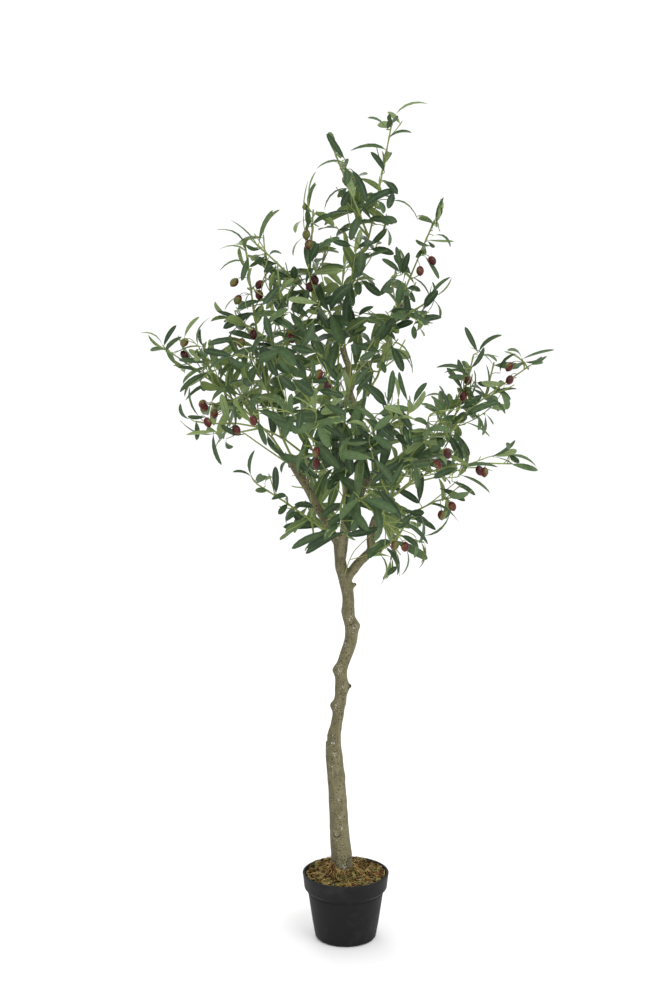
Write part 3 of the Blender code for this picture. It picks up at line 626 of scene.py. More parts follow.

# %% [markdown]
# Bark isn't one pattern. This one is a smooth skin with soft lumps, knots that swell out where
# twigs once grew, healed eyes with a raised lid, cross wrinkles at the foot, and a ledge on the
# left where the trunk was once split. A sculptor would push each of them out with a soft brush.
# Here each brush stroke is a smooth hill: full at its middle and gone a few millimetres away.
# The fine marks come after, along each point's normal, and how deep they went is kept on the
# mesh, so that the colour can darken the creases as painted shade.

# %% Trunk and boughs: knots, eyes and ledge
KNOT_WIDTH = 0.007
KNOT_HOLD = 0.009
KNOT_SWELL = 1.25
KNOT_RIM = 0.0028
# How dark the painted shade is in the crease under each knot.
KNOT_DARK = 0.5
# Healed eyes: height, bearing in degrees, half width and half height.
EYES = ((0.198, 254, 0.01, 0.0095), (0.352, 280, 0.005, 0.004), (0.26, 95, 0.006, 0.008),
        (0.52, 100, 0.005, 0.009))
EYE_HOLD = 0.006
EYE_LID = 0.0012
EYE_DEPTH = 0.0014
# Where an eye's lid, hollow and dark rim of painted shade lie, 1 at its edge, and how wide the lid and
# rim are.
LID_WIDTH = 0.28
HOLLOW_EDGE = 0.75
RIM_AT = 0.74
RIM_WIDTH = 0.15
LEDGE_Z = 0.366
LEDGE_BEARING = 195
LEDGE_OUT = 0.0032
LEDGE_FOOT = 0.235
LEDGE_WIDTH = 0.01


def bark_places():
    """The place of every point of the bark, one row each."""
    places = np.empty(len(bark.data.vertices) * 3)
    bark.data.vertices.foreach_get("co", places)
    return places.reshape(-1, 3)


def on_trunk(height, degrees):
    """A place on the trunk's surface with its outward and sideways directions."""
    k = min(range(len(trunk_line.line)), key=lambda i: abs(trunk_line.line[i].z - height))
    bearing = math.radians(degrees)
    out = np.array((math.cos(bearing), math.sin(bearing), 0.0))
    middle = np.array((*trunk_line.line[k][:2], height)) + out * trunk_radii[k]
    return middle, out, np.array((-out[1], out[0], 0.0))


def smooth_step(value, low, high):
    """0 below low, 1 above high, and a smooth step between."""
    share = np.clip((value - low) / (high - low), 0.0, 1.0)
    return share * share * (3 - 2 * share)


def sculpt(places):
    """How far each point is pushed by knots, eyes and the ledge, and how dark its place is: painted
    shade under the knots and in the eyes' hollows, and dark stub ends.
    """
    push = np.zeros_like(places)
    dark = np.zeros(len(places))
    for height, degrees, stand, spread in KNOTS:
        middle, out, aside = on_trunk(height, degrees)
        away = places - middle
        hill = np.exp(-(away @ aside / KNOT_WIDTH) ** 2 - (away[:, 2] / spread) ** 2
                      - (away @ out / KNOT_HOLD) ** 2)
        push += hill[:, None] * out * stand * KNOT_SWELL
        # A line of painted shade in the crease under the knot.
        rim = np.exp(-((away[:, 2] + spread * 0.8) / KNOT_RIM) ** 2)
        dark = np.maximum(dark, KNOT_DARK * rim * np.sqrt(hill))
    for height, degrees, wide, tall in EYES:
        middle, out, aside = on_trunk(height, degrees)
        away = places - middle
        ring = np.hypot(away @ aside / wide, away[:, 2] / tall)
        near = np.exp(-(away @ out / EYE_HOLD) ** 2)
        lid = np.exp(-((ring - 1.0) / LID_WIDTH) ** 2) * near
        hollow = np.exp(-(ring / HOLLOW_EDGE) ** 2) * near
        push += (lid * EYE_LID - hollow * EYE_DEPTH)[:, None] * out
        # A ring of painted shade in the eye's hollow, darker on its lower side.
        rim = 0.35 + 0.55 * smooth_step(-away[:, 2] / tall, -0.5, 0.5)
        dark = np.maximum(dark, rim * np.exp(-((ring - RIM_AT) / RIM_WIDTH) ** 2) * near)
    middle, out, aside = on_trunk(LEDGE_Z, LEDGE_BEARING)
    away = places - middle
    below = smooth_step(-away[:, 2], -0.001, 0.002) * smooth_step(places[:, 2], LEDGE_FOOT, LEDGE_Z)
    flap = below * np.exp(-(away @ aside / LEDGE_WIDTH) ** 2) * (away @ out > -0.012)
    push += (flap * LEDGE_OUT)[:, None] * out
    for root, end, radius in STUBS:
        tip = np.linalg.norm(places - np.array(end), axis=1)
        dark = np.maximum(dark, 1.0 - smooth_step(tip, 0.0018, 0.004))
    return push, dark


places = bark_places()
push, dark = sculpt(places)
bark.data.vertices.foreach_set("co", (places + push).ravel())
bark.data.update()
print("furthest push:", round(float(np.linalg.norm(push, axis=1).max()), 4), "m")

# %% Trunk and boughs: fine relief
LUMP = 0.0009
WRINKLE = 0.0008
WRINKLES_END = 0.17
PIT = 0.0004
WANDER = 0.0012
# How many lumps, small lumps, wanders, wrinkles and pits there are on a metre.
LUMPS, SMALL_LUMPS, WANDERS, WRINKLES, PITS = 62, 150, 120, 175, 430


def step_up(value, low, high):
    """The same smooth step for one number, without the slow way through an array."""
    share = min(max((value - low) / (high - low), 0.0), 1.0)
    return share * share * (3 - 2 * share)


def keep_on_bark(name, values):
    """Keep a value for each point of the bark, for its material to read."""
    bark.data.attributes.new(name, "FLOAT", "POINT").data.foreach_set("value", values)


def bark_relief(place):
    """How far the bark stands out at a place, and how dark it is: painted shade in its creases, and
    dark pits.
    """
    lump = noise.noise(Vector((place.x, place.y, place.z * 0.6)) * LUMPS)
    lump += 0.5 * noise.noise(Vector((place.x, place.y, place.z * 0.5)) * SMALL_LUMPS)
    bent = place + noise.noise_vector(place * WANDERS) * WANDER
    near, far = noise.voronoi(Vector((bent.x, bent.y, bent.z * 1.9)) * WRINKLES)[0][:2]
    foot = 0.12 + 0.88 * (1 - step_up(place.z, WRINKLES_END * 0.85, WRINKLES_END))
    crease = (1 - step_up(far - near, 0.02, 0.22)) * foot
    spots = noise.noise(Vector((bent.x, bent.y, bent.z * 0.8)) * PITS)
    pit = step_up(spots, 0.32, 0.5)
    return LUMP * lump - WRINKLE * crease - PIT * pit, min(1.0, 0.8 * crease + 0.8 * pit)


# Unless it is seeded, Blender's vector noise starts from the clock's time.
noise.seed_set(1)
shades_and_marks = []
moved = []
for point, marked in zip(bark.data.vertices, dark):
    out, shade_and_dark_marks = bark_relief(point.co)
    keep = 0.0 if point.co.z < TRUNK_LINE[0][2] + 0.002 else 1.0
    moved.extend(point.co + point.normal * out * keep)
    shades_and_marks.append(max(shade_and_dark_marks, marked))
bark.data.vertices.foreach_set("co", moved)
keep_on_bark("shade_and_dark_marks", shades_and_marks)
bark.data.update()
print("grooves cover", round(float(np.mean(np.array(shades_and_marks) > 0.5)), 2), "of the bark")

# %% Trunk and boughs: painted glints and painted shade on the left side
# Height, bearing in degrees and radius of the places with painted glints: pale flecks of painted
# highlight, where the paint is also glossier.
GLOSS_AND_GLINT_SPOTS = ((0.137, 285, 0.008), (0.192, 246, 0.009), (0.21, 288, 0.007), (0.228, 285, 0.006),
        (0.262, 282, 0.006), (0.31, 240, 0.006), (0.324, 260, 0.007), (0.346, 268, 0.006),
        (0.368, 262, 0.01), (0.35, 200, 0.01), (0.432, 236, 0.007), (0.466, 300, 0.009),
        (0.498, 236, 0.009), (0.545, 215, 0.008), (0.574, 300, 0.01), (0.592, 284, 0.01),
        (0.64, 250, 0.005), (0.25, 90, 0.009), (0.372, 100, 0.009), (0.52, 80, 0.009),
        (0.64, 110, 0.009), (0.455, 60, 0.008))
# How far the left side of each limb is darkened: painted shade, as if lit from the right.
LEFT_SHADE = 0.6


def gloss_and_glint_at(places):
    """How much painted glint and gloss each point of the bark takes: 1 in the middle of a spot, 0 away
    from it.
    """
    gloss_and_glint = np.zeros(len(places))
    for height, degrees, radius in GLOSS_AND_GLINT_SPOTS:
        middle, out, aside = on_trunk(height, degrees)
        away = (places - middle) / np.array((radius, radius, radius * 1.6))
        gloss_and_glint = np.maximum(gloss_and_glint, 1 - np.sqrt((away ** 2).sum(axis=1)))
    return gloss_and_glint


keep_on_bark("gloss_and_glint", gloss_and_glint_at(bark_places()))
keep_on_bark("painted_left_shade", [LEFT_SHADE * step_up(-p.normal.x, 0.1, 0.9) for p in bark.data.vertices])
only(bark)
bpy.ops.object.shade_smooth()
print("worn places:", len(GLOSS_AND_GLINT_SPOTS))

# %% [markdown]
# The bark's paint is khaki: a mid tone with faint lighter streaks along the limb and clusters of
# small dark pores. On it come painted shade in the creases, under the knots and down the left side,
# and near the knots small pale flecks of painted glint where the paint is also glossier. The pores
# and streaks read the place on the object; the painted shade and glints read what the mesh carries.

# %% Trunk and boughs: finish
khaki = Pattern("bark", (106, 100, 72), 0.62)
khaki.shader.inputs["Specular IOR Level"].default_value = 0.30
tall = khaki.stretched((1.0, 1.0, 0.22))
streaks = khaki.ramp(khaki.noise(120, 5.0, 0.6, tall), 0.40, 0.70)
patches = khaki.ramp(khaki.noise(30, 4.0, 0.6), 0.36, 0.64)
body = khaki.mix(patches, (97, 92, 64), (118, 112, 81))
body = khaki.mix(streaks, body, (128, 122, 92))
pores = khaki.ramp(khaki.noise(480, 1.5, 0.5, khaki.stretched((1.0, 1.0, 1.5))), 0.566, 0.626)
# Painted shade down the left side of each limb.
body = khaki.mix(khaki.attribute("painted_left_shade"), body, (84, 80, 58))
clusters = khaki.ramp(khaki.noise(60, 3.0, 0.6, khaki.stretched((1.0, 1.0, 0.6))), 0.36, 0.56)
body = khaki.mix(clusters, body, khaki.mix(pores, body, (46, 42, 30)))
# Painted shade in the creases, under the knots and in the eyes' hollows, with the dark pits and stub
# ends.
shade_marks_share = khaki.ramp(khaki.attribute("shade_and_dark_marks"), 0.15, 0.85)
body = khaki.mix(shade_marks_share, body, (48, 42, 31))
# Pale flecks near the knots: painted glints of light, with a glossier paint there.
flecks = khaki.between(khaki.noise(400, 2.0, 0.6), -3.2, 1.7)
shine = khaki.ramp(khaki.sum(khaki.attribute("gloss_and_glint"), flecks), 0.30, 0.46)
khaki.wire("Base Color", khaki.mix(shine, body, (176, 174, 164)))
khaki.wire("Roughness", khaki.between(shine, 0.64, 0.28))
khaki.bump(khaki.noise(640, 4.0, 0.6, tall), 0.0004)
bark.data.materials.clear()
bark.data.materials.append(khaki.material)
finish_piece(bark, ["trunk", *BOUGHS])

# %% [markdown]
# Dried moss is a tangle of curly strands in olive, straw and rusty brown. The imported mound gives
# its shape. A lumpy mound in the darkest tone fills the gaps as painted shade between the strands,
# and a few thousand short curls lie on it. Hair could make them, but only meshes last, so each curl
# is a thin tube that wanders along the mound, and its colour is dealt out strand by strand, darker
# for the low ones as painted shade.

# %% Moss: the mound
MOSS_EDGE_Z = 0.112
MOSS_FOOT_Z = 0.0963
MOSS_PEAK_RISE = 0.014
MOSS_PEAK_WIDTH = 0.034
MOSS_CLEAR = 0.0006
MOSS_CLUMP = 0.0034
# Heaps of moss: place off the trunk's foot, rise and width.
HEAPS = metres(((-22, 30, 14, 22), (-17, -17, 13, 12), (18, -12, 4, 12)))
# How fine clumps and the mound's own lumps are, the lumps' size, and how deep the mound sinks.
CLUMPS = 70.0
MOUND_LUMPS = 240
MOUND_LUMP = 0.0016
MOUND_SUNK = 0.0018
MOUND_STEPS = 72
TRUNK_FOOT = Vector(TRUNK_LINE[0][:2])


def mound_height(x, y):
    """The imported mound's height, highest round the trunk, with the moss in heaps beside it."""
    away = (Vector((x, y)) - TRUNK_FOOT).length
    rise = MOSS_PEAK_RISE * math.exp(-(away / MOSS_PEAK_WIDTH) ** 2)
    for heap_x, heap_y, height, width in HEAPS:
        off = (Vector((x, y)) - TRUNK_FOOT - Vector((heap_x, heap_y))).length
        rise += height * math.exp(-(off / width) ** 2)
    return MOSS_EDGE_Z + rise + MOSS_CLUMP * noise.noise(Vector((x, y, 0.3)) * CLUMPS)


def mound_profile():
    """Up from the fill along the wall, then in to the middle ring by ring."""
    wall = pot_inner_radius(MOSS_EDGE_Z) - MOSS_CLEAR
    low = pot_inner_radius(MOSS_FOOT_Z) - MOSS_CLEAR
    top = [(wall * (1 - k / 15), MOSS_EDGE_Z) for k in range(1, 15)]
    return [(low, MOSS_FOOT_Z), (wall, MOSS_EDGE_Z - 0.003)] + top


mound = drawn_up("dried_moss", mound_profile(), MOUND_STEPS)
for point in mound.data.vertices:
    x, y, z = point.co
    if z > MOSS_EDGE_Z - 0.001:
        lumps = MOUND_LUMP * noise.fractal(Vector((x, y, 0.0)) * MOUND_LUMPS, 0.8, 2.0, 3)
        point.co.z = mound_height(x, y) - MOUND_SUNK + lumps
nothing_selected()
bpy.ops.mesh.primitive_cylinder_add(vertices=40, radius=TRUNK_LINE[0][3] + 0.0005, depth=0.08,
                                    location=(TRUNK_FOOT.x, TRUNK_FOOT.y, MOSS_EDGE_Z))
cutter = bpy.context.object
apply_place(cutter)
add_modifier(mound, "BOOLEAN", operation="DIFFERENCE", object=cutter, solver="EXACT")
bpy.data.objects.remove(cutter, do_unlink=True)
print("mound:", len(mound.data.polygons), "faces")

# %% Moss: curly strands
STRANDS = 2900
STRAND_POINTS = 9
STRAND_RADIUS = (0.00026, 0.00054)
STRAND_STEP = (0.0018, 0.0032)
STRAND_TURN = 0.7
STRAND_RISE = 0.006
STRAND_ARCH = 0.0012
WALL_RISE = 0.003
WALL_GAP = 0.0014
TRUNK_GAP = 0.0208
MOSS_SHADE = 1.3
# The mound's tone, painted shade between the strands, and those of green and brown strands, from the
# dark ones that lie deep to the pale ones on top: painted shade and light by height.
MOSS_GAP_SHADE = (22, 18, 10)
MOSS_GREENS = ((24, 21, 11), (46, 41, 20), (90, 82, 38), (134, 122, 60), (184, 170, 110))
MOSS_BROWNS = ((28, 20, 12), (60, 41, 24), (110, 77, 43), (152, 108, 63), (194, 156, 104))


def strand(rng):
    """A curl that starts anywhere on the mound and wanders, kept inside the pot and off the trunk."""
    wall = pot_inner_radius(MOSS_EDGE_Z) - WALL_GAP
    bearing = rng.uniform(0, FULL_TURN)
    away = wall * math.sqrt(rng.random())
    x, y = away * math.cos(bearing), away * math.sin(bearing)
    heading = rng.uniform(0, FULL_TURN)
    turn = rng.choice((-1, 1)) * rng.uniform(0.3, 1.0) * STRAND_TURN
    step = rng.uniform(*STRAND_STEP)
    rise = rng.random()
    slope = rng.uniform(-0.0012, 0.0012)
    points = []
    for k in range(STRAND_POINTS):
        out = Vector((x, y))
        if out.length > wall:
            out *= wall / out.length
        off = out - TRUNK_FOOT
        if off.length < TRUNK_GAP:
            out = TRUNK_FOOT + off.normalized() * TRUNK_GAP
        share = k / (STRAND_POINTS - 1)
        lift = WALL_RISE * (out.length / wall) ** 5 * rise + STRAND_RISE * rise + slope * k * 0.5
        lift += STRAND_ARCH * math.sin(math.pi * share)
        points.append(Vector((out.x, out.y, mound_height(*out) - STRAND_ARCH + max(lift, 0.0))))
        heading += turn
        turn += rng.gauss(0, 0.30)
        x, y = out.x + step * math.cos(heading), out.y + step * math.sin(heading)
    thick = rng.uniform(*STRAND_RADIUS)
    # Tone by height: strands that lie low take the dark tones and high ones the pale, as painted shade
    # and light.
    shade = MOSS_SHADE * noise.noise(Vector((points[0].x, points[0].y, 1.9)) * 240.0)
    tone = round(rise * (len(MOSS_GREENS) - 1) + shade + rng.gauss(-0.55, 1.7))
    tone = min(max(tone, 0), len(MOSS_GREENS) - 1)
    if noise.noise(Vector((points[0].x, points[0].y, 0.7)) * 60.0) + rng.gauss(0, 0.26) > 0.12:
        tone += len(MOSS_GREENS)
    return points, [thick * (0.5 if k in (0, STRAND_POINTS - 1) else 1.0)
                    for k in range(STRAND_POINTS)], 1 + tone


moss_rng = random.Random(5)
curls = [strand(moss_rng) for k in range(STRANDS)]
moss_finishes = [plain("moss_gap_shade", MOSS_GAP_SHADE, 0.92, Specular_IOR_Level=0.2)]
moss_finishes += palette("moss_tone", MOSS_GREENS + MOSS_BROWNS, 0.92, Specular_IOR_Level=0.2)
strands = tubes("moss_strands", curls, 0, caps=False, finishes=moss_finishes)
mound.data.materials.clear()
for finish in moss_finishes:
    mound.data.materials.append(finish)
join_into(mound, strands)
finish_piece(mound, ["moss"])

# %% [markdown]
# The crown is fourteen sprays, each wired to the cut end of a limb. A spray has a stem, a few
# main twigs that bend through a given point to a given end, side twigs that leave them by the
# golden angle, and finer ones on those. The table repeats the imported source's, with two or three
# leaders set a little closer to the photo's.

# %% Crown: the sprays
# Each spray's limb end, its seed, and its main twigs, the stem first: how far up the stem each
# one leaves it, a place that it bends through, and its end.
MASSES = {
    "foliage_top": dict(seat="upper_bough", seed=47, twigs=(
        (0, (44, -10, 1285), (88, -20, 1510)), (0.5, (18, -30, 1315), (-34, -30, 1446)),
        (0.45, (11, 45, 1312), (35, 80, 1431)))),
    "foliage_upper_left": dict(seat="upper_bough", seed=24, twigs=(
        (0, (-70, -36, 1171), (-203, -55, 1295)), (0.3, (-61, -50, 1228), (-54, -55, 1358)),
        (0.55, (-139, 30, 1210), (-151, 70, 1324)))),
    "foliage_upper_right": dict(seat="upper_bough_spur", seed=11, twigs=(
        (0, (93, 4, 1151), (174, 10, 1343)), (0.42, (127, -50, 1141), (185, -70, 1194)),
        (0.35, (96, 85, 1127), (149, 150, 1238)))),
    "foliage_back_top": dict(seat="back_bough", seed=29, twigs=(
        (0, (-14, 130, 1018), (-1, 150, 1278)), (0.4, (-86, 170, 1037), (-148, 215, 1171)),
        (0.45, (76, 180, 1037), (136, 235, 1133)))),
    "foliage_left_high": dict(seat="left_bough", seed=22, twigs=(
        (0, (-143, -50, 1033), (-180, -55, 1295)), (0.35, (-105, -80, 1079), (-120, -110, 1216)),
        (0.6, (-184, -45, 1114), (-244, -50, 1157)))),
    "foliage_left_far": dict(seat="left_bough", seed=19, twigs=(
        (0, (-219, -10, 1001), (-351, -15, 1096)), (0.52, (-250, -30, 1080), (-249, -40, 1130)),
        (0.3, (-203, 80, 1009), (-292, 150, 1083)), (0.45, (-241, -40, 976), (-284, -60, 993)))),
    "foliage_left_low": dict(seat="left_bough_spur", seed=33, twigs=(
        (0, (-145, -75, 937), (-281, -110, 945)), (0.5, (-193, -95, 928), (-206, -110, 880)))),
    "foliage_low_left": dict(seat="front_bough_spur", seed=36, twigs=(
        (0, (-82, -85, 794), (-194, -100, 868)), (0.1, (-49, -95, 750), (-95, -110, 722)))),
    "foliage_front": dict(seat="front_bough", seed=40, twigs=(
        (0, (-9, -100, 892), (9, -140, 1053)), (0.35, (-58, -160, 920), (-108, -230, 996)),
        (0.33, (47, -160, 912), (93, -220, 988)), (0.1, (-10, -110, 800), (-17, -150, 730)),
        (0.12, (36, -110, 806), (89, -150, 752)))),
    "foliage_right_far": dict(seat="right_bough", seed=12, twigs=(
        (0, (187, -20, 940), (361, -30, 1073)), (0.5, (213, -30, 1019), (229, -35, 1111)),
        (0.2, (91, -70, 942), (88, -90, 1034)), (0.72, (257, -10, 1033), (273, 10, 1095)))),
    "foliage_right_mid": dict(seat="right_bough", seed=19, twigs=(
        (0, (162, -70, 867), (332, -80, 875)), (0.3, (107, -120, 893), (162, -170, 946)),
        (0.2, (144, 50, 837), (233, 120, 850)))),
    "foliage_right_low": dict(seat="right_bough_spur", seed=45, twigs=(
        (0, (126, -45, 795), (251, -70, 831)), (0.06, (100, -20, 736), (188, -30, 728)),
        (0.04, (83, 10, 710), (71, 10, 648)))),
    "foliage_back_left": dict(seat="back_bough", seed=32, twigs=(
        (0, (-86, 150, 848), (-232, 210, 941)), (0.3, (-68, 190, 806), (-138, 260, 820)))),
    "foliage_back_right": dict(seat="back_bough_spur", seed=26, twigs=(
        (0, (74, 125, 850), (199, 170, 961)), (0.25, (63, 165, 789), (128, 235, 773)),
        (0.4, (101, 100, 842), (195, 110, 832)))),
}
print("sprays:", len(MASSES), "main twigs:", sum(len(m["twigs"]) for m in MASSES.values()))

# %% Crown: main twigs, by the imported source's rule
LINK = 0.0003
STEM_RADIUS = 0.0022
COARSE_STEP = 0.050
LEAF_REACH = 0.048


def limb_ends():
    """Each limb end that can carry stems: its centre, direction and radius."""
    found = {}
    for name, spec in BOUGHS.items():
        limb = Limb(smooth_line(spec["line"], 0.021))
        found[name] = (limb.line[-1], limb.directions[-1], spec["tip"])
        root, end, radius = spec["spurs"][0]
        found[name + "_spur"] = (Vector(end), (Vector(end) - Vector(root)).normalized(), radius)
    return found


LIMB_ENDS = limb_ends()


def bend_through(start, slope, via, end, step):
    """An even line that leaves start along slope and bends through via to end."""
    middle = (end - start) * 0.5
    first = [hermite(start, slope * (via - start).length, via, middle, k / 14) for k in range(14)]
    second = [hermite(via, middle, end, end - via, k / 14) for k in range(15)]
    return even_points(first + second, step)


def main_twigs(spec):
    """The stem and the other main twigs of a spray, out to where their last leaves reach."""
    centre, axis, radius = LIMB_ENDS[spec["seat"]]
    shared = sum(other["seat"] == spec["seat"] for other in MASSES.values()) > 1
    lines = []
    for fraction, via, end in spec["twigs"]:
        via, end = Vector(metres(via)), Vector(metres(end))
        if lines:
            stem = lines[0]
            at = max(1, round(fraction * (len(stem) - 1)))
            start, slope = stem[at], (stem[at + 1] - stem[at - 1]).normalized()
        else:
            lean = via - centre
            lean = (lean - axis * lean.dot(axis)).normalized()
            start, slope = centre + axis * LINK, axis
            if shared:
                start = start + lean * (radius - STEM_RADIUS)
        lines.append(bend_through(start, slope, via, end, COARSE_STEP))
    return lines


MAIN_TWIGS = {name: main_twigs(spec) for name, spec in MASSES.items()}
print("longest main twig:", round(max(length_of(line) for lines in MAIN_TWIGS.values()
                                      for line in lines), 3), "m")

# %% [markdown]
# Sprays that grow through each other would look like a hedge. So each has its own space: near its
# own main twigs and nearer to them than to any other spray's. A search tree over points along all
# main twigs answers that quickly. Leaves also stay out of the limbs, and out of the windows
# through which the photo shows sky or a bare limb.

# %% Crown: each spray's own space
SPACE_AT_ROOT = 0.125
SPACE_AT_TIP = 0.062
SPACE_MARGIN = 0.0010
LIMB_CLEARANCE = 0.0012
TRUNK_KEEP_OUT = 0.0125


def search_tree(points):
    """A tree that finds the nearest of many points."""
    tree = kdtree.KDTree(len(points))
    for i, point in enumerate(points):
        tree.insert(point, i)
    tree.balance()
    return tree


space_trees = {}
space_reaches = {}
for name, lines in MAIN_TWIGS.items():
    points, reaches = [], []
    for line in lines:
        close = even_points(line, 0.012)
        points += close
        reaches += [SPACE_AT_ROOT + (SPACE_AT_TIP - SPACE_AT_ROOT) * i / (len(close) - 1)
                    for i in range(len(close))]
    space_trees[name] = search_tree(points)
    space_reaches[name] = reaches


def in_own_space(name, point):
    """Whether a point is near its own spray's main twigs, and nearer than to any other's."""
    near, number, away = space_trees[name].find(point)
    if away > space_reaches[name][number]:
        return False
    return all(away + SPACE_MARGIN < tree.find(point)[2]
               for other, tree in space_trees.items() if other != name)


def limb_points():
    """Close points along every limb with the radius to stay out of."""
    found = [(p, TRUNK_KEEP_OUT) for p in smooth_line([p[:3] for p in TRUNK_LINE], 0.006)]
    for spec in BOUGHS.values():
        found += [(p, spec["root"]) for p in smooth_line(spec["line"], 0.005)]
        for root, end, radius in spec["spurs"]:
            found += [(Vector(root).lerp(Vector(end), k / 4), radius) for k in range(5)]
    return found


limb_list = limb_points()
limb_tree = search_tree([p for p, radius in limb_list])


def clear_of_limbs(point):
    """Whether a point stays out of the trunk and the boughs."""
    return all(away > limb_list[number][1] + LIMB_CLEARANCE
               for near, number, away in limb_tree.find_range(point, 0.03))


print("points along limbs:", len(limb_list))

# %% Crown: windows of sky
# Round openings that show the sky, or a bare limb, as seen from the camera: x, z and radius on
# the plane of the trunk.
SKY = metres((
    (85, 1530, 22), (300, 1220, 105), (185, 1415, 80), (-295, 1195, 70), (355, 955, 65),
    (-125, 1370, 55), (210, 1315, 40), (295, 825, 40), (170, 1085, 37), (240, 780, 35), (-55, 670, 35),
    (-330, 1020, 35), (5, 1465, 30), (-160, 785, 33), (-60, 1425, 30), (-180, 1325, 28),
    (130, 1340, 28), (195, 1140, 28), (-200, 825, 28), (195, 740, 27), (350, 1105, 25), (95, 1390, 25),
    (-120, 1275, 24), (-245, 1260, 23), (40, 640, 23), (-345, 1130, 22), (115, 1475, 20),
    (105, 1280, 22), (305, 1095, 21), (-35, 1370, 20), (280, 930, 20), (180, 1230, 20), (-145, 880, 20),
    (50, 680, 18), (140, 1040, 20), (-195, 880, 18), (240, 900, 18), (95, 1430, 16), (160, 710, 17),
    (65, 1205, 16), (-215, 1175, 18), (-105, 835, 17), (-100, 1310, 18), (240, 1110, 17),
    (315, 1020, 14), (-130, 750, 15), (-240, 1105, 14), (-260, 900, 15), (20, 1400, 14),
    (-105, 1240, 14), (-155, 1205, 12), (-185, 1175, 10), (-195, 1215, 12), (-170, 1285, 14),
    (-20, 1235, 12), (95, 1315, 14), (45, 1285, 10), (125, 1225, 13), (145, 1205, 14), (130, 1180, 18),
    (125, 1155, 12), (35, 1160, 18), (65, 1155, 16), (105, 1090, 14), (175, 1245, 14), (-175, 915, 22),
    (-180, 940, 10), (-205, 905, 12), (-220, 900, 12), (-125, 910, 12), (-95, 905, 18), (-270, 975, 10),
    (-245, 990, 10), (-265, 990, 10), (-270, 1090, 12), (65, 1015, 20), (80, 1045, 10), (50, 975, 16),
    (115, 1020, 16), (110, 1045, 10), (130, 960, 12), (130, 940, 8), (150, 1000, 10), (180, 1010, 12),
    (210, 1065, 14), (240, 1040, 14), (265, 1075, 14), (220, 930, 14), (110, 835, 12), (150, 830, 20),
    (140, 810, 10), (-80, 820, 18), (-75, 745, 12), (115, 800, 12), (150, 785, 12), (160, 770, 10),
    (110, 745, 10), (240, 825, 14), (210, 840, 10), (225, 855, 10), (270, 905, 14), (265, 875, 10),
    (50, 1380, 12), (-330, 1120, 14), (-280, 910, 12), (-245, 915, 10), (-285, 975, 10),
    (-280, 1110, 12), (335, 1085, 14), (365, 1045, 12), (165, 1020, 12), (265, 955, 10), (40, 1400, 20),
    (30, 1385, 14), (45, 1438, 18), (20, 1430, 12), (-30, 1345, 15), (-20, 1370, 14), (-45, 1325, 14),
    (-40, 1395, 20), (105, 1345, 18), (100, 1310, 16), (90, 1275, 13), (100, 1258, 11), (120, 1275, 14),
    (-35, 1275, 10), (-20, 1230, 8), (-100, 1335, 26), (-110, 1290, 20), (177, 1302, 11),
    (180, 1280, 10), (140, 1318, 14), (150, 1340, 14), (138, 1283, 9), (62, 1210, 15), (-165, 1287, 13),
    (-200, 1267, 8), (-205, 1238, 8), (-215, 1262, 7), (-200, 1213, 12), (-230, 1300, 20),
    (-157, 1210, 10), (-100, 1240, 14), (-85, 1240, 10), (-275, 1105, 6), (-305, 1030, 9),
    (-270, 995, 9), (-300, 965, 8), (-262, 968, 6), (-250, 905, 15), (-145, 862, 12), (-185, 876, 10),
    (-150, 838, 4), (-90, 812, 8), (-125, 792, 6), (130, 1065, 14), (140, 1090, 10), (150, 730, 10),
    (165, 760, 10), (105, 700, 9), (80, 700, 8), (220, 790, 20), (180, 735, 16), (235, 835, 8),
    (245, 970, 6), (260, 940, 12), (195, 830, 6), (130, 980, 6), (160, 1060, 14), (245, 1070, 5),
    (225, 1050, 5), (92, 1496, 10), (74, 1494, 10), (-12, 700, 16), (4, 690, 10), (45, 1110, 6),
    (50, 1165, 12), (100, 1060, 6), (16, 679, 10), (21, 695, 10), (24, 709, 8), (0, 1086, 6),
    (3, 1066, 7), (7, 1048, 7), (10, 1030, 6), (48, 762, 8), (46, 745, 7), (-135, 1250, 9),
    (-168, 1257, 7), (-125, 1237, 7), (-90, 1222, 7), (-85, 1272, 9), (-20, 1325, 8), (-55, 1300, 6),
    (60, 1252, 6), (40, 1350, 6), (30, 1310, 6), (-110, 1110, 6), (-115, 1090, 7), (-20, 1058, 6),
    (30, 1065, 6), (20, 992, 6), (95, 985, 7), (155, 957, 7), (238, 1025, 9), (-222, 945, 8),
    (-255, 945, 9), (-300, 928, 9), (-300, 1060, 6), (-110, 868, 9), (-95, 855, 7), (95, 902, 6),
    (65, 880, 6), (35, 780, 8), (60, 725, 8), (105, 805, 6), (290, 880, 7), (175, 960, 6),
    (185, 1172, 10), (153, 1300, 6), (-10, 722, 10), (48, 772, 6), (5, 1057, 6), (9, 1014, 7),
    (9, 999, 6), (45, 1212, 10), (55, 1232, 8), (150, 1165, 5),
))
SKY_EDGE = 0.0015


def at_depth(x, z, y):
    """The point at a depth y that shows at x and z on the plane of the trunk."""
    share = 1 - y / CAMERA_PLACE.y
    return Vector((CAMERA_PLACE.x + (x - CAMERA_PLACE.x) * share, y,
                   CAMERA_PLACE.z + (z - CAMERA_PLACE.z) * share))


def seen(point):
    """Where a point shows from the camera: its x and z on the plane of the trunk."""
    share = 1 / (1 - point.y / CAMERA_PLACE.y)
    return Vector((CAMERA_PLACE.x + (point.x - CAMERA_PLACE.x) * share,
                   CAMERA_PLACE.z + (point.z - CAMERA_PLACE.z) * share))


def in_the_sky(point):
    """Whether a point shows in one of the windows from the camera."""
    x, z = seen(point)
    return any((x - wx) ** 2 + (z - wz) ** 2 < (radius - SKY_EDGE) ** 2 for wx, wz, radius in SKY)


print("windows of sky:", len(SKY))

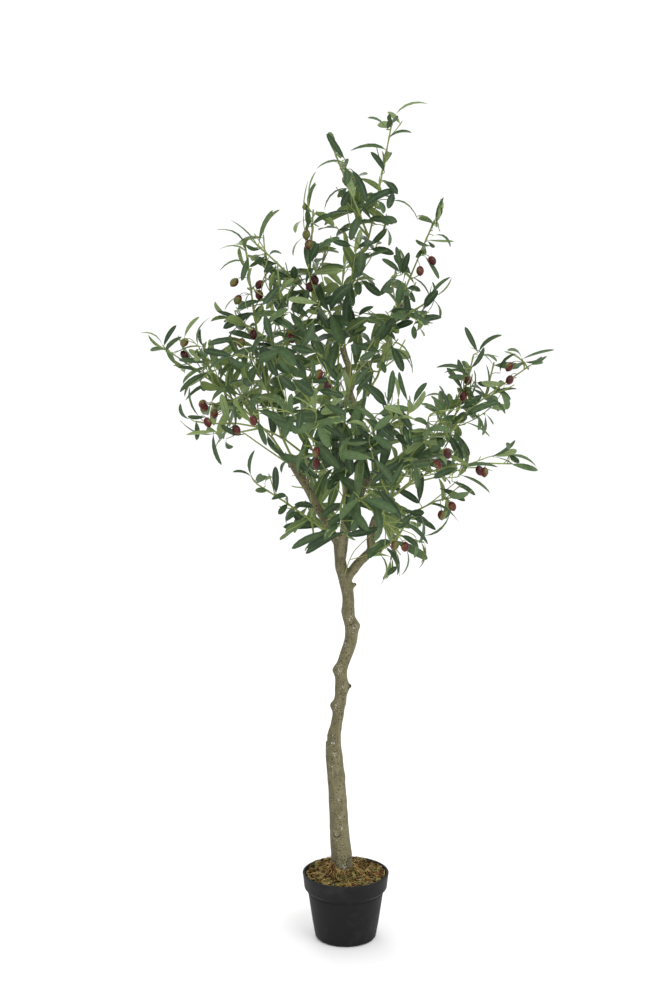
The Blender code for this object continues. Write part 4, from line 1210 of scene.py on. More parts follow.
# %% [markdown]
# The olives hang where the photo shows them, mostly in pairs, a little in front of the nearest
# main twig, and a few more hang at the back. They are set before any leaf grows, because a leaf
# that hid one from the camera would lose it. So each olive keeps a small free window before it.

# %% Crown: places of the olives
# x and z of the olives that show, as seen on the plane of the trunk.
SEEN_OLIVES = metres((
    (-197, 1190), (-191, 1160), (-153, 1186), (-153, 1168), (-70, 1273), (-66, 1256), (-55, 1194),
    (-64, 1182), (-164, 1099), (-185, 1084), (-286, 1085), (-286, 1063), (-255, 976), (-252, 969),
    (-234, 959), (-246, 944), (-195, 931), (-165, 947), (151, 1228), (130, 1210), (215, 1018),
    (208, 990), (289, 1042), (290, 1019), (181, 888), (163, 869), (238, 858), (247, 855), (190, 794),
    (171, 778), (88, 724), (106, 721), (-53, 891), (-53, 870), (-48, 1029), (-32, 1008), (-98, 1108),
    (-97, 1092),
))
# x, y and z of the olives at the back.
BACK_OLIVES = metres((
    (-80, 190, 1010), (-70, 200, 995), (140, 190, 880), (150, 175, 870), (-20, 180, 1130),
    (-5, 185, 1115), (60, 200, 930), (50, 205, 915), (-120, 190, 1070), (-110, 205, 1060),
    (100, 110, 1150), (110, 120, 1135),
))
OLIVE_LENGTH = 0.018
OLIVE_WIDTH = 0.014
OLIVE_HANG = 0.015
OLIVE_FORWARD = 0.012
OLIVE_WINDOW = 0.0085
BACK_COST = 0.25
SHOWN_TWIGS = [(name, seen(point), point.y) for name, lines in MAIN_TWIGS.items()
               if "back" not in name for line in lines for point in even_points(line, 0.010)]


def nearest_main(x, z):
    """The front spray, and the depth, of the main twig that shows nearest or lies well in front."""
    return min((math.hypot(shown.x - x, shown.y - z) + BACK_COST * depth, name, depth)
               for name, shown, depth in SHOWN_TWIGS)[1:]


OLIVES = [Vector(place) for place in BACK_OLIVES]
for x, z in SEEN_OLIVES:
    OLIVES.append(at_depth(x, z, nearest_main(x, z + OLIVE_HANG)[1] - OLIVE_FORWARD))


def hides_an_olive(point):
    """Whether a point lies between the camera and an olive of the front."""
    return any(point.y < olive.y and (at_depth(*seen(point), olive.y) - olive).length < OLIVE_WINDOW
               for olive in OLIVES[len(BACK_OLIVES):])


print("olives:", len(OLIVES))

# %% [markdown]
# One leaf is the pattern for all: long and narrow, widest beyond the middle, with a rounded tip,
# a short stalk and a raised rib down its back. It is a grid of few faces pulled to the leaf's
# outline, with a second, coarser grid under it, joined along the edge. The faces beside the rib
# are cut along the veins' slant, so that every other one can be lighter, like the printed veins.

# %% Leaf: the pattern
LEAF_ROWS = (0.0, 0.07, 0.22, 0.42, 0.62, 0.80, 0.93, 1.0)
LEAF_HALF_WIDTHS = (0.11, 0.14, 0.58, 0.91, 1.0, 0.90, 0.60, 0.14)
TOP_COLUMNS = (-1.0, -0.52, -0.085, 0.085, 0.52, 1.0)
UNDER_COLUMNS = (-1.0, -0.11, 0.11, 1.0)
LEAF_THICKNESS = 0.030
RIB_RISE = 0.035


def leaf_grid(name, columns):
    """A flat grid whose columns and rows are pulled to the leaf's outline."""
    nothing_selected()
    bpy.ops.mesh.primitive_grid_add(x_subdivisions=len(columns) - 1,
                                    y_subdivisions=len(LEAF_ROWS) - 1, size=1.0)
    made = bpy.context.object
    made.name = name
    for point in made.data.vertices:
        column = round((point.co.x + 0.5) * (len(columns) - 1))
        row = round((point.co.y + 0.5) * (len(LEAF_ROWS) - 1))
        point.co = (columns[column] * LEAF_HALF_WIDTHS[row], LEAF_ROWS[row], 0.0)
        inside = 1.0 - abs(columns[column])
        point.co.z = inside * LEAF_THICKNESS * (1 if columns is TOP_COLUMNS else -1)
        if 0 < column < len(columns) - 1 and abs(columns[column]) < 0.2:
            rise = RIB_RISE * (0.4 if columns is TOP_COLUMNS else -1.0)
            point.co.z += rise * (1 - 0.7 * LEAF_ROWS[row])
    return made


leaf_pattern = leaf_grid("leaf_pattern", TOP_COLUMNS)
leaf_under = leaf_grid("leaf_under", UNDER_COLUMNS)
edit_all(leaf_under, bpy.ops.mesh.flip_normals)
join_into(leaf_pattern, leaf_under)
edit_all(leaf_pattern, bpy.ops.mesh.remove_doubles, threshold=0.0001)
print("leaf pattern:", len(leaf_pattern.data.polygons), "faces before its veins are cut")

# %% Leaf: veins and the role of each face
BLADE, VEIN, RIB, UNDER, UNDER_RIB = range(5)


def cut_pattern(mesh):
    """Corners, faces and the role of each face, with the faces beside the rib cut on a slant."""
    places = [point.co.copy() for point in mesh.vertices]
    faces, roles = [], []
    for face in mesh.polygons:
        middle = face.center
        corners = list(face.vertices)
        half = float(np.interp(middle.y, LEAF_ROWS, LEAF_HALF_WIDTHS))
        across = abs(middle.x) / half
        if face.normal.z > 0 and 0.07 < across < 0.55 and middle.y > LEAF_ROWS[1]:
            low_inner = min(corners, key=lambda i: (places[i].y > middle.y, abs(places[i].x)))
            start = corners.index(low_inner)
            ring = corners[start:] + corners[:start]
            inner_first = abs(places[ring[1]].x) < abs(places[ring[3]].x)
            faces += [(ring[0], ring[1], ring[2]), (ring[0], ring[2], ring[3])]
            roles += [VEIN, BLADE] if inner_first else [BLADE, VEIN]
            continue
        faces.append(corners)
        if face.normal.z < 0:
            roles.append(UNDER_RIB if across < 0.09 else UNDER)
        else:
            roles.append(RIB if across < 0.07 else BLADE)
    return np.array([p[:] for p in places]), faces, roles


leaf_places, leaf_faces, leaf_roles = cut_pattern(leaf_pattern.data)
bpy.data.objects.remove(leaf_pattern, do_unlink=True)
print("leaf:", len(leaf_faces), "faces,", leaf_roles.count(VEIN), "of them veins")

# %% [markdown]
# A real leaf is never flat: it arches over its length, cups across, twists a little, and sweeps
# to one side. All four are simple functions of how far along the leaf a point is, so one function
# bends the pattern for every copy. A coarse strip along the same bends stands in for the leaf
# where leaves are kept from cutting each other.

# %% Leaf: one bent copy
LEAF_LENGTH = 0.062
LEAF_WIDTH = 0.0166


class Leaf:
    """One leaf: where it starts, how it lies, and how it bends."""

    def __init__(self, root, direction, light, roll, length, width, droop, sweep, twist, cup):
        normal = light - direction * direction.dot(light)
        self.normal = Matrix.Rotation(roll, 3, direction) @ normal.normalized()
        self.side = direction.cross(self.normal)
        self.root, self.direction = root, direction
        self.length, self.half = length, width / 2
        self.droop, self.sweep, self.twist, self.cup = droop, sweep, twist, cup

    def bend(self, pattern):
        """The pattern's points, bent and placed."""
        across, along, off = pattern[:, 0], pattern[:, 1], pattern[:, 2]
        angle = self.droop * along
        bow = self.droop if abs(self.droop) > 0.001 else 0.001
        forward = self.length * np.sin(bow * along) / bow
        down = self.length * (np.cos(bow * along) - 1) / bow
        x = across * self.half * np.cos(self.twist * along)
        z = across * self.half * np.sin(self.twist * along)
        z = z + off * self.half + self.cup * self.half * np.abs(across) ** 1.5
        forward = forward + z * np.sin(angle)
        down = down + z * np.cos(angle)
        x = x + self.sweep * self.length * along ** 2
        axes = np.array((self.direction[:], self.normal[:], self.side[:]))
        return np.array(self.root[:]) + np.stack((forward, down, x), axis=1) @ axes


STRIP = np.array([(s * w, t, 0.0) for t, w in
                  ((0.20, 0.45), (0.44, 0.9), (0.66, 0.98), (0.84, 0.85), (1.0, 0.20))
                  for s in (-1.0, 1.0)])
STRIP_FACES = [(0, 1, 3, 2), (2, 3, 5, 4), (4, 5, 7, 6), (6, 7, 9, 8)]


def strip_tree(leaf):
    """The leaf's coarse strip, its points and a tree that finds what it would cut."""
    points = [Vector(p) for p in leaf.bend(STRIP)]
    return points, BVHTree.FromPolygons(points, STRIP_FACES)


print("leaf:", LEAF_LENGTH, "m long,", LEAF_WIDTH, "m wide")

# %% [markdown]
# Some leaves matter more than others: those that one sees singly, at the crown's edge and in
# front. They are read off the photo one by one, like the main twigs. Each is given as it shows
# from the camera, and its depth comes from the twig that it grows on. The rest come in pairs
# along every twig, each a few tries until it lies free, and turned a quarter from pair to pair.
# Twigs branch twice: side twigs off the main ones and short ones off those.

# %% Growth: leaves seen singly
# x and z of the root, x and z of the tip, all as seen on the plane of the trunk, the width that
# shows, and the bow: above 0 it bends clockwise from root to tip, as seen from the camera.
SEEN_LEAVES = (
    (85, 1478, 141, 1497, 4.2, 0.6), (70, 1453, 37, 1473, 4, -0.5), (71, 1454, 77, 1473, 8.5, 0),
    (81, 1462, 76, 1480, 7, 0.3), (80, 1463, 88, 1477, 6, 0), (74, 1437, 114, 1448, 6.2, 0.55),
    (68, 1418, 7, 1417, 8.5, -0.7), (67, 1380, 43, 1415, 10, -0.2), (-2, 1402, -34, 1446, 10.5, 0),
    (-2, 1396, -52, 1386, 4.8, -0.65), (0, 1390, 4, 1403, 6, 0), (-1, 1389, 1, 1359, 11.5, 0.2),
    (16, 1372, 37, 1377, 4.5, 0.2), (8, 1386, 36, 1328, 12, 0.3), (10, 1352, 22, 1373, 7, 0),
    (7, 1353, -38, 1315, 4, -0.8), (1, 1353, -15, 1337, 8, 0), (8, 1352, -8, 1321, 13, 0),
    (28, 1318, 90, 1352, 14, 0.4), (69, 1364, 90, 1343, 12, 0.2), (83, 1347, 73, 1318, 13, 0),
    (80, 1331, 125, 1298, 5.5, 0.85), (152, 1280, 122, 1304, 6, -0.9), (159, 1286, 170, 1337, 7, 0.3),
    (153, 1271, 183, 1251, 6, 0.85), (148, 1253, 122, 1264, 7, 0.2), (143, 1262, 156, 1253, 5, 0),
    (134, 1249, 122, 1234, 8, 0), (138, 1236, 163, 1196, 6.5, 0), (96, 1203, 88, 1252, 9.5, -0.1),
    (98, 1203, 110, 1242, 11, 0), (94, 1207, 63, 1231, 9.5, -0.2), (43, 1247, 84, 1240, 13, 0.2),
    (41, 1254, 71, 1283, 11, -0.1), (70, 1286, 74, 1254, 5, 0.3), (38, 1298, 82, 1292, 13, 0.5),
    (42, 1242, 10, 1218, 14, 0), (27, 1194, 61, 1167, 14, 0), (83, 1199, 60, 1168, 11, 0),
    (-60, 1290, -18, 1308, 9, 0.5), (-66, 1286, -68, 1316, 10, 0), (-66, 1316, -54, 1363, 8, 0.3),
    (-74, 1298, -89, 1276, 4.5, -0.5), (-71, 1268, -93, 1236, 4, -0.5), (10, 1253, -25, 1263, 11, 0),
    (-45, 1243, -13, 1241, 3.5, 0.2), (-47, 1215, -4, 1217, 9, 0.2), (-65, 1222, -49, 1258, 13, 0.1),
    (-153, 1258, -129, 1315, 7.5, 0.25), (-153, 1256, -203, 1298, 4, -0.15),
    (-177, 1252, -227, 1281, 4.5, -0.8), (-171, 1236, -223, 1247, 4, -0.95),
    (-173, 1225, -223, 1209, 5, -0.75), (-141, 1236, -170, 1218, 7, 0),
    (-150, 1250, -175, 1255, 7, 0.3), (-136, 1233, -113, 1239, 8.5, 0.9),
    (-172, 1234, -184, 1193, 10, 0), (-132, 1222, -145, 1208, 9, 0), (-100, 1200, -139, 1213, 10, 0.1),
    (-118, 1185, -146, 1152, 12, 0), (-150, 1157, -191, 1143, 10, -0.3),
    (-160, 1138, -217, 1110, 15, -0.15), (-176, 1108, -228, 1140, 9, -0.4),
    (-92, 1196, -92, 1218, 13, 0), (-178, 1168, -214, 1141, 3.5, -0.5),
    (-325, 1080, -364, 1101, 4.2, -0.75), (-323, 1077, -300, 1115, 8.5, 0.2),
    (-319, 1068, -291, 1095, 9, 0.4), (-319, 1072, -346, 1070, 6, -0.1),
    (-286, 1093, -259, 1130, 7, 0.35), (-260, 1079, -241, 1128, 5, 0.75),
    (-250, 1079, -257, 1108, 7.5, 0.3), (-200, 1088, -244, 1082, 11, -0.25),
    (-201, 1062, -252, 1071, 12.5, 0), (-197, 1064, -245, 1037, 7, -0.1),
    (-247, 1048, -296, 1054, 8.5, -0.1), (-253, 1032, -296, 1042, 7, -0.2),
    (-245, 1031, -295, 998, 10.5, -0.35), (-234, 1009, -285, 983, 8, -0.6),
    (-276, 949, -294, 977, 6.5, 0.6), (-250, 953, -281, 955, 7.5, 0.1), (-260, 953, -277, 1006, 4, 0.4),
    (-232, 924, -295, 948, 4.5, 0.55), (-267, 946, -266, 912, 9, 0.1),
    (-236, 924, -222, 868, 7.5, -0.3), (-213, 915, -201, 900, 6, -0.6), (-182, 922, -223, 939, 10, 0.3),
    (-196, 937, -200, 975, 6.5, 0), (-158, 947, -142, 903, 10, 0), (-140, 922, -110, 884, 11.5, -0.4),
    (-167, 845, -202, 855, 5.5, -0.4), (-169, 849, -163, 894, 7.5, 0.5), (-162, 840, -150, 851, 8, 0),
    (-141, 825, -162, 822, 9.5, 0), (-125, 816, -126, 865, 12, 0), (-144, 830, -132, 846, 3.5, 0.5),
    (-105, 811, -133, 807, 10, -0.4), (-103, 795, -104, 811, 4, 0), (-104, 797, -121, 780, 11, 0),
    (-58, 791, -92, 797, 12, -0.3), (-82, 782, -107, 768, 10, -0.4), (-40, 757, -112, 757, 14, -0.15),
    (-94, 751, -118, 733, 6.5, 0), (-27, 749, -97, 718, 13.5, -0.2), (-24, 748, -70, 719, 11, 0),
    (-2, 748, -72, 709, 14, -0.25), (-5, 799, -45, 774, 13, -0.2), (0, 780, -33, 761, 14, -0.1),
    (-100, 875, -115, 854, 7, -0.7), (-66, 900, -86, 852, 8.5, -0.6), (120, 1117, 168, 1130, 13, 0.35),
    (138, 1144, 161, 1176, 15, 0.2), (119, 1115, 121, 1091, 10, 0), (129, 1111, 137, 1096, 3.5, 0),
    (79, 1086, 117, 1030, 5.5, 1), (79, 1080, 101, 1034, 15, 0.1), (80, 1075, 117, 1038, 5, 0.5),
    (62, 1051, 69, 1031, 10, 0), (73, 972, 83, 1036, 11, -0.1), (110, 980, 94, 1033, 8, 0),
    (120, 978, 143, 1014, 9.5, 0.2), (133, 983, 167, 992, 3.5, 0.4), (177, 945, 151, 991, 9, -0.4),
    (180, 965, 166, 1000, 8, -0.4), (170, 957, 133, 976, 6, -0.3), (215, 1033, 160, 1041, 8, -0.5),
    (214, 1026, 198, 1055, 9, 0.2), (214, 1025, 181, 1024, 9, 0), (148, 933, 120, 949, 8, -0.4),
    (149, 928, 117, 927, 8, -0.1), (146, 918, 116, 912, 11, 0), (233, 1067, 210, 1112, 9.5, 0),
    (234, 1067, 275, 1098, 7, 0.5), (235, 1062, 267, 1051, 4.5, 0.5), (220, 1039, 244, 1076, 8, -0.2),
    (273, 1031, 300, 1065, 6, 0.75), (311, 1056, 285, 1071, 5, -0.6), (310, 1055, 368, 1072, 4.8, 0.15),
    (315, 1051, 355, 1061, 7, -0.4), (315, 1048, 298, 1045, 7, 0), (313, 1051, 322, 1037, 3, 0),
    (249, 989, 248, 1046, 4.5, -0.3), (253, 989, 303, 1003, 7, 0.3), (253, 1011, 292, 984, 8.5, 0.1),
    (232, 1014, 253, 1009, 9, 0), (247, 983, 283, 959, 7, 0.7), (208, 952, 269, 980, 13, 0.25),
    (205, 968, 241, 991, 13, 0), (248, 959, 261, 940, 3, 0), (234, 959, 235, 930, 5, 0.2),
    (247, 956, 242, 921, 6, 0.2), (211, 944, 256, 918, 3.5, 0.3), (192, 926, 220, 885, 11, 0.1),
    (181, 926, 208, 876, 13, 0), (164, 922, 172, 900, 13, 0), (259, 883, 301, 912, 5.5, -0.3),
    (291, 897, 285, 907, 8, 0), (291, 885, 340, 864, 7, 0.5), (291, 885, 309, 872, 10, 0),
    (264, 882, 302, 865, 4, 0.1), (210, 862, 271, 864, 8, 0.55), (203, 850, 257, 818, 5.5, 0.3),
    (185, 866, 198, 897, 7, 0), (199, 863, 156, 845, 12, -0.1), (189, 839, 231, 814, 8, 0.15),
    (168, 826, 213, 804, 11, 0.1), (147, 798, 202, 765, 7.5, 0.85), (141, 741, 185, 779, 6, -0.6),
    (116, 774, 161, 752, 11, 0.3), (113, 782, 140, 782, 13, 0), (101, 764, 147, 726, 8.5, 0.45),
    (141, 728, 131, 682, 3.2, 0.5), (99, 741, 129, 722, 10, 0.2), (125, 738, 122, 701, 7, 0.2),
    (108, 717, 99, 669, 4, 0.6), (71, 717, 92, 684, 8.5, 0.5), (92, 686, 76, 670, 10, 0),
    (61, 707, 61, 651, 4, 0.85), (131, 800, 134, 855, 13, 0), (83, 827, 131, 800, 13, 0.2),
    (100, 862, 150, 872, 14, 0.2), (147, 1163, 183, 1199, 7, 0.3), (112, 1200, 147, 1163, 3.5, 0.5),
    (2, 1175, 0, 1113, 16, 0), (8, 1150, 10, 1098, 16, 0), (22, 1131, 48, 1148, 9, 0.3),
    (24, 1136, 79, 1109, 4.5, 0.5), (24, 1130, 61, 1115, 5, 0.2), (60, 1068, 8, 1080, 14, -0.2),
    (13, 1085, 18, 1062, 13, 0), (58, 1085, 83, 1128, 14, 0), (50, 1090, 68, 1119, 12, 0),
    (86, 1108, 118, 1122, 13, 0.2), (97, 1190, 92, 1153, 15, 0), (112, 1141, 80, 1140, 11, 0),
    (104, 1178, 110, 1125, 12, 0.1), (107, 1180, 131, 1175, 10, 0.2), (113, 1174, 122, 1156, 9, 0),
    (20, 1193, 22, 1168, 14, 0), (52, 1068, 24, 1055, 12, 0), (42, 1040, 16, 1010, 12, -0.2),
    (50, 1035, 18, 1001, 9, 0), (28, 1013, 68, 984, 15, 0.1), (-12, 998, -3, 1036, 6, 0.6),
    (-147, 1089, -122, 1025, 16, -0.2), (-134, 1128, -90, 1107, 14, 0.2), (-99, 1138, -70, 1102, 14, 0),
    (-144, 1135, -134, 1094, 13, 0), (-70, 1118, -40, 1064, 13, 0), (-52, 1067, -97, 1077, 13, 0),
    (-85, 1066, -127, 1068, 12, -0.2), (-90, 1063, -72, 1018, 8, 0.3), (-98, 1030, -119, 1056, 8, 0),
    (-52, 1062, -14, 1018, 13, 0.1), (-14, 1012, -72, 1016, 11, -0.3), (-95, 1020, -58, 992, 17, 0.1),
    (-120, 1028, -90, 1000, 14, 0), (-50, 1000, -4, 990, 14, 0.1), (-60, 1020, -62, 1055, 7, 0),
    (-159, 966, -103, 944, 13, 0.1), (-79, 968, -85, 932, 12, 0), (-167, 960, -156, 995, 10, 0.2),
    (-37, 975, 0, 958, 12, 0), (-52, 1118, -6, 1110, 12, 0), (-86, 1135, -66, 1176, 12, 0),
    (-62, 1148, -2, 1168, 15, 0), (-75, 1088, -128, 1100, 7, -0.2), (-131, 1078, -88, 1091, 5, 0),
    (-122, 1133, -108, 1157, 9, 0), (-118, 1162, -105, 1147, 9, 0), (2, 966, 32, 950, 15, 0),
    (31, 952, 86, 911, 15, 0.15), (20, 936, 69, 888, 14, 0), (0, 912, 45, 908, 11, 0),
    (0, 910, 58, 874, 16, 0.1), (-3, 911, -58, 912, 12, -0.4), (0, 915, -51, 945, 16, 0),
    (0, 907, 10, 850, 15, 0), (20, 893, 40, 842, 16, 0), (-3, 873, -46, 880, 15, 0),
    (-22, 856, 22, 818, 13, 0), (-22, 862, -43, 815, 9, -0.7), (43, 830, 94, 872, 14, 0.2),
    (103, 874, 80, 828, 10, 0), (55, 826, 98, 772, 14, 0.1), (13, 820, 6, 775, 15, 0),
    (68, 758, 3, 742, 13, 0.1), (15, 768, 40, 750, 13, 0), (88, 922, 115, 905, 13, 0),
    (72, 945, 85, 918, 13, 0), (60, 915, 78, 890, 7, 0), (78, 975, 117, 930, 13, 0.3),
    (102, 940, 115, 902, 12, 0), (52, 798, 62, 755, 15, 0), (74, 972, 45, 1000, 12, 0),
)
seen_of = {name: [] for name in MASSES}
for *ends, shown, bow in SEEN_LEAVES:
    root_x, root_z, tip_x, tip_z = metres(ends)
    seen_of[nearest_main(root_x, root_z)[0]].append((root_x, root_z, tip_x, tip_z, shown, bow))
print("leaves seen singly:", {name: len(rows) for name, rows in seen_of.items()})

# %% Growth: twigs
TWIG_STEP = 0.007
SIDE_TWIG_START = 0.040
SIDE_TWIG_SPACING = 0.046
SIDE_TWIG_LENGTH = 0.120
SIDE_TWIG_TAPER = 0.70
SIDE_TWIG_ANGLES = (34, 58)
SIDE_TWIG_RISE = (-0.10, 0.35)
FINE_TWIG_START = 0.022
FINE_TWIG_LENGTH = 0.045
FINE_TWIG_SPACING = 0.075
FINE_TWIG_TAPER = 0.3


def side_twig(name, root, along, side, bearing, length, rng):
    """A curved side twig, cut back to where it leaves its spray's space."""
    angle = math.radians(rng.uniform(*SIDE_TWIG_ANGLES))
    slope = along * math.cos(angle) + around(along, side, bearing) * math.sin(angle)
    rise = UP * rng.uniform(*SIDE_TWIG_RISE)
    end = root + (slope * 0.75 + along * 0.25 + rise).normalized() * length
    dense = [hermite(root, slope * length, end, (along + rise) * length * 0.6, k / 16)
             for k in range(17)]
    kept = [dense[0]]
    for point in dense[1:]:
        if not (in_own_space(name, point) and clear_of_limbs(point)) or in_the_sky(point):
            break
        kept.append(point)
    return Limb(even_points(kept, TWIG_STEP)) if len(kept) > 4 else None


def place_on(twig, at):
    """The point, direction, side vector and leaves' youth at a length along a twig."""
    first, last = twig.youths
    return (*twig.at(at), first + (last - first) * (at / twig.reach) ** 1.5)


def side_twigs(name, parent, start, spacing, length, taper, younger, rng):
    """Side twigs along one twig, each turned by the golden angle from the last."""
    found = []
    bearing = rng.uniform(0, FULL_TURN)
    at = start
    while at < parent.reach - 0.02:
        root, along, side = parent.at(at)
        reach = length * (1 - taper * at / parent.reach) * rng.uniform(0.8, 1.2)
        twig = side_twig(name, root, along, side, bearing, reach, rng)
        if twig:
            born = place_on(parent, at)[3]
            twig.youths = (born, min(1.0, born + younger))
            found.append(twig)
        bearing += GOLDEN_ANGLE
        at += spacing * rng.uniform(0.8, 1.2)
    return found


def shortened(line, length, step):
    """A line that ends the given length earlier, where its last leaf starts."""
    close = even_points(line, 0.002)
    count = round(len(close) * (1 - length / length_of(line)))
    return even_points(close[:max(count, 4)], step)


print("side twigs every", SIDE_TWIG_SPACING, "m")

# %% Growth: leaves
# How far out the first leaves sit on main, side and fine twigs.
FIRST_LEAVES = (0.034, 0.014, 0.010)
LEAF_SPACING = 0.033
LEAF_ANGLES = (36, 84)
LEAF_SAG = 0.40
LEAF_ATTEMPTS = 7
LEAF_ROLL = 0.65
TURN_OUT = 1.0
TURN_UP = 0.35
TURN_TO_TIP = 0.35
OLD_LENGTH = 1.20
YOUNG_LENGTH = 0.84
OLD_WIDTH = 1.16
YOUNG_WIDTH = 0.72
LENGTH_RANGE = (0.76, 1.14)
WIDTH_RANGE = (0.86, 1.12)
CUP_RANGE = (0.10, 0.45)
# The middle and spread of how much a leaf arches, in degrees.
DROOP = (40, 24)
PAIR_SHARE = 0.88
HUB_START = 0.012
HUB_LEAVES = 6
HUB_SPACING = 0.004
HUB_ANGLES = (48, 96)
# Leaves seen singly: length, width in millimetres, and how far they arch and cup.
SEEN_LENGTH = (0.046, 0.056)
SEEN_WIDTH = (8.5, 10.5)
SEEN_DROOP = (0.1, 0.5)
SEEN_CUP = (0.10, 0.40)
MOST_FORWARD = 0.034
SIDE_YOUTH = 0.40
FINE_YOUTH = 0.25


def light_at(root, along):
    """Where a leaf's upper side would turn to: out of the tree, up, and to its twig's tip."""
    out = Vector((root.x, root.y, 0.0))
    return out / max(out.length, 0.10) * TURN_OUT + UP * TURN_UP + along * TURN_TO_TIP


def random_leaf(root, direction, light, youth, rng):
    """A leaf of its own size, roll and bends: large when old, small and slim when young."""
    length = LEAF_LENGTH * (OLD_LENGTH + (YOUNG_LENGTH - OLD_LENGTH) * youth)
    width = LEAF_WIDTH * (OLD_WIDTH + (YOUNG_WIDTH - OLD_WIDTH) * youth)
    length *= rng.uniform(*LENGTH_RANGE)
    width *= rng.uniform(*WIDTH_RANGE)
    leaf = Leaf(root, direction, light, rng.gauss(0, LEAF_ROLL), length, width,
                math.radians(rng.gauss(*DROOP)), rng.gauss(0, 0.05), rng.gauss(0, 0.3),
                rng.uniform(*CUP_RANGE))
    leaf.youth = youth
    return leaf


def fits(name, leaf, taken):
    """The leaf's strip if it lies in its own space, clear of limbs, sky and other leaves."""
    points, tree = strip_tree(leaf)
    middles = [(left + right) / 2 for left, right in zip(points[::2], points[1::2])]
    if any(in_the_sky(point) or hides_an_olive(point) for point in points + middles):
        return None
    if not all(in_own_space(name, point) and clear_of_limbs(point) for point in points):
        return None
    if any(tree.overlap(other) for other in taken):
        return None
    return tree


def add_leaf(name, leaves, taken, place, bearing, angles, rng):
    """Try a few turns of a leaf: keep the first that lies free."""
    root, along, side, youth = place
    for attempt in range(LEAF_ATTEMPTS):
        angle = math.radians(rng.uniform(*angles))
        out = around(along, side, bearing + rng.uniform(-0.4, 0.4))
        sag = UP * rng.uniform(0.0, LEAF_SAG)
        direction = (along * math.cos(angle) + out * math.sin(angle) - sag).normalized()
        leaf = random_leaf(root, direction, light_at(root, along), youth, rng)
        tree = fits(name, leaf, taken)
        if tree:
            leaves.append(leaf)
            taken.append(tree)
            return


def leaves_on(name, leaves, taken, twig, rng, first):
    """A leaf at the tip, then pairs along the twig, each a quarter turn from the last."""
    add_leaf(name, leaves, taken, place_on(twig, twig.reach), 0.0, (0, 14), rng)
    bearing = rng.uniform(0, FULL_TURN)
    at = twig.reach - 0.006
    while at > first:
        for turn in (0, math.pi):
            if rng.random() < PAIR_SHARE:
                add_leaf(name, leaves, taken, place_on(twig, at), bearing + turn, LEAF_ANGLES, rng)
        bearing += QUARTER + rng.uniform(-0.3, 0.3)
        at -= LEAF_SPACING * rng.uniform(0.8, 1.2)


def hub(name, leaves, taken, twig, rng):
    """The tuft of large leaves that hides where a spray is wired to its limb."""
    bearing = rng.uniform(0, FULL_TURN)
    for k in range(HUB_LEAVES):
        add_leaf(name, leaves, taken, place_on(twig, HUB_START + HUB_SPACING * k), bearing,
                 HUB_ANGLES, rng)
        bearing += GOLDEN_ANGLE


def nearest_shown(x, z, twigs):
    """The twig point, and its direction, that shows nearest to a place, a little before it."""
    def price(found):
        point, along = found
        shown = seen(point)
        away = Vector((x - shown.x, z - shown.y))
        return away.length - 0.3 * away.dot(Vector((along.x, along.z))) + BACK_COST * point.y

    return min((found for twig in twigs for found in zip(twig.line[1:], twig.directions[1:])),
               key=price)


def aimed(leaf, tip):
    """The leaf turned about its root and resized until it ends at a given tip."""
    made = Vector(leaf.bend(np.array([(0.0, 1.0, 0.0)]))[0]) - leaf.root
    wanted = tip - leaf.root
    turn = made.rotation_difference(wanted).to_matrix()
    leaf.direction, leaf.normal = turn @ leaf.direction, turn @ leaf.normal
    leaf.side = leaf.direction.cross(leaf.normal)
    leaf.length *= wanted.length / made.length
    return leaf


def seen_leaf(row, twigs, rng):
    """A leaf that shows as the photo shows it, and the short twig that carries it there."""
    root_x, root_z, tip_x, tip_z, shown, bow = row
    start, along = nearest_shown(root_x, root_z, twigs)
    chord = math.hypot(tip_x - root_x, tip_z - root_z)
    forward = math.sqrt(max(rng.uniform(*SEEN_LENGTH) ** 2 - chord ** 2, 0.0))
    root = at_depth(root_x, root_z, start.y)
    tip = at_depth(tip_x, tip_z, start.y - min(forward, MOST_FORWARD))
    direction = (tip - root).normalized()
    if (root - start).length < 0.003:
        root, carrier = start, None
    else:
        reach = (root - start).length
        line = [hermite(start, along * reach, root, direction * reach * 0.5, k / 10)
                for k in range(11)]
        carrier = Limb(even_points(line, TWIG_STEP))
    to_camera = (CAMERA_PLACE - root).normalized()
    facing = (to_camera - direction * direction.dot(to_camera)).normalized()
    width = max(shown, rng.uniform(*SEEN_WIDTH))
    roll = math.acos(shown / width)
    bends = math.copysign(1.0, bow) if bow else rng.choice((-1.0, 1.0))
    light = facing * math.cos(roll) - direction.cross(facing) * math.sin(roll) * bends
    droop = max(2 * abs(bow) * math.sin(roll), rng.uniform(*SEEN_DROOP))
    leaf = Leaf(root, direction, light, 0.0, chord, width / 1000, droop, bow * math.cos(roll),
                rng.gauss(0, 0.15), rng.uniform(*SEEN_CUP))
    leaf.youth = min(max((12.0 - shown) / 9.0, 0.0), 1.0)
    return aimed(leaf, tip), carrier


print("a pair of leaves every", LEAF_SPACING, "m")

# %% Growth: one spray
# Bare twigs: the photo shows two that rise from the trunk's fork.
LOOSE_TWIGS = {"foliage_front": metres((
    ((-4, -6, 668), (0, -12, 679), (5, -14, 695.5), (14, -16, 714), (27, -19, 729), (43, -22, 744)),
    ((8, -15, 700), (25, -18, 705), (43, -20, 711), (68, -24, 723), (82, -28, 727))))}


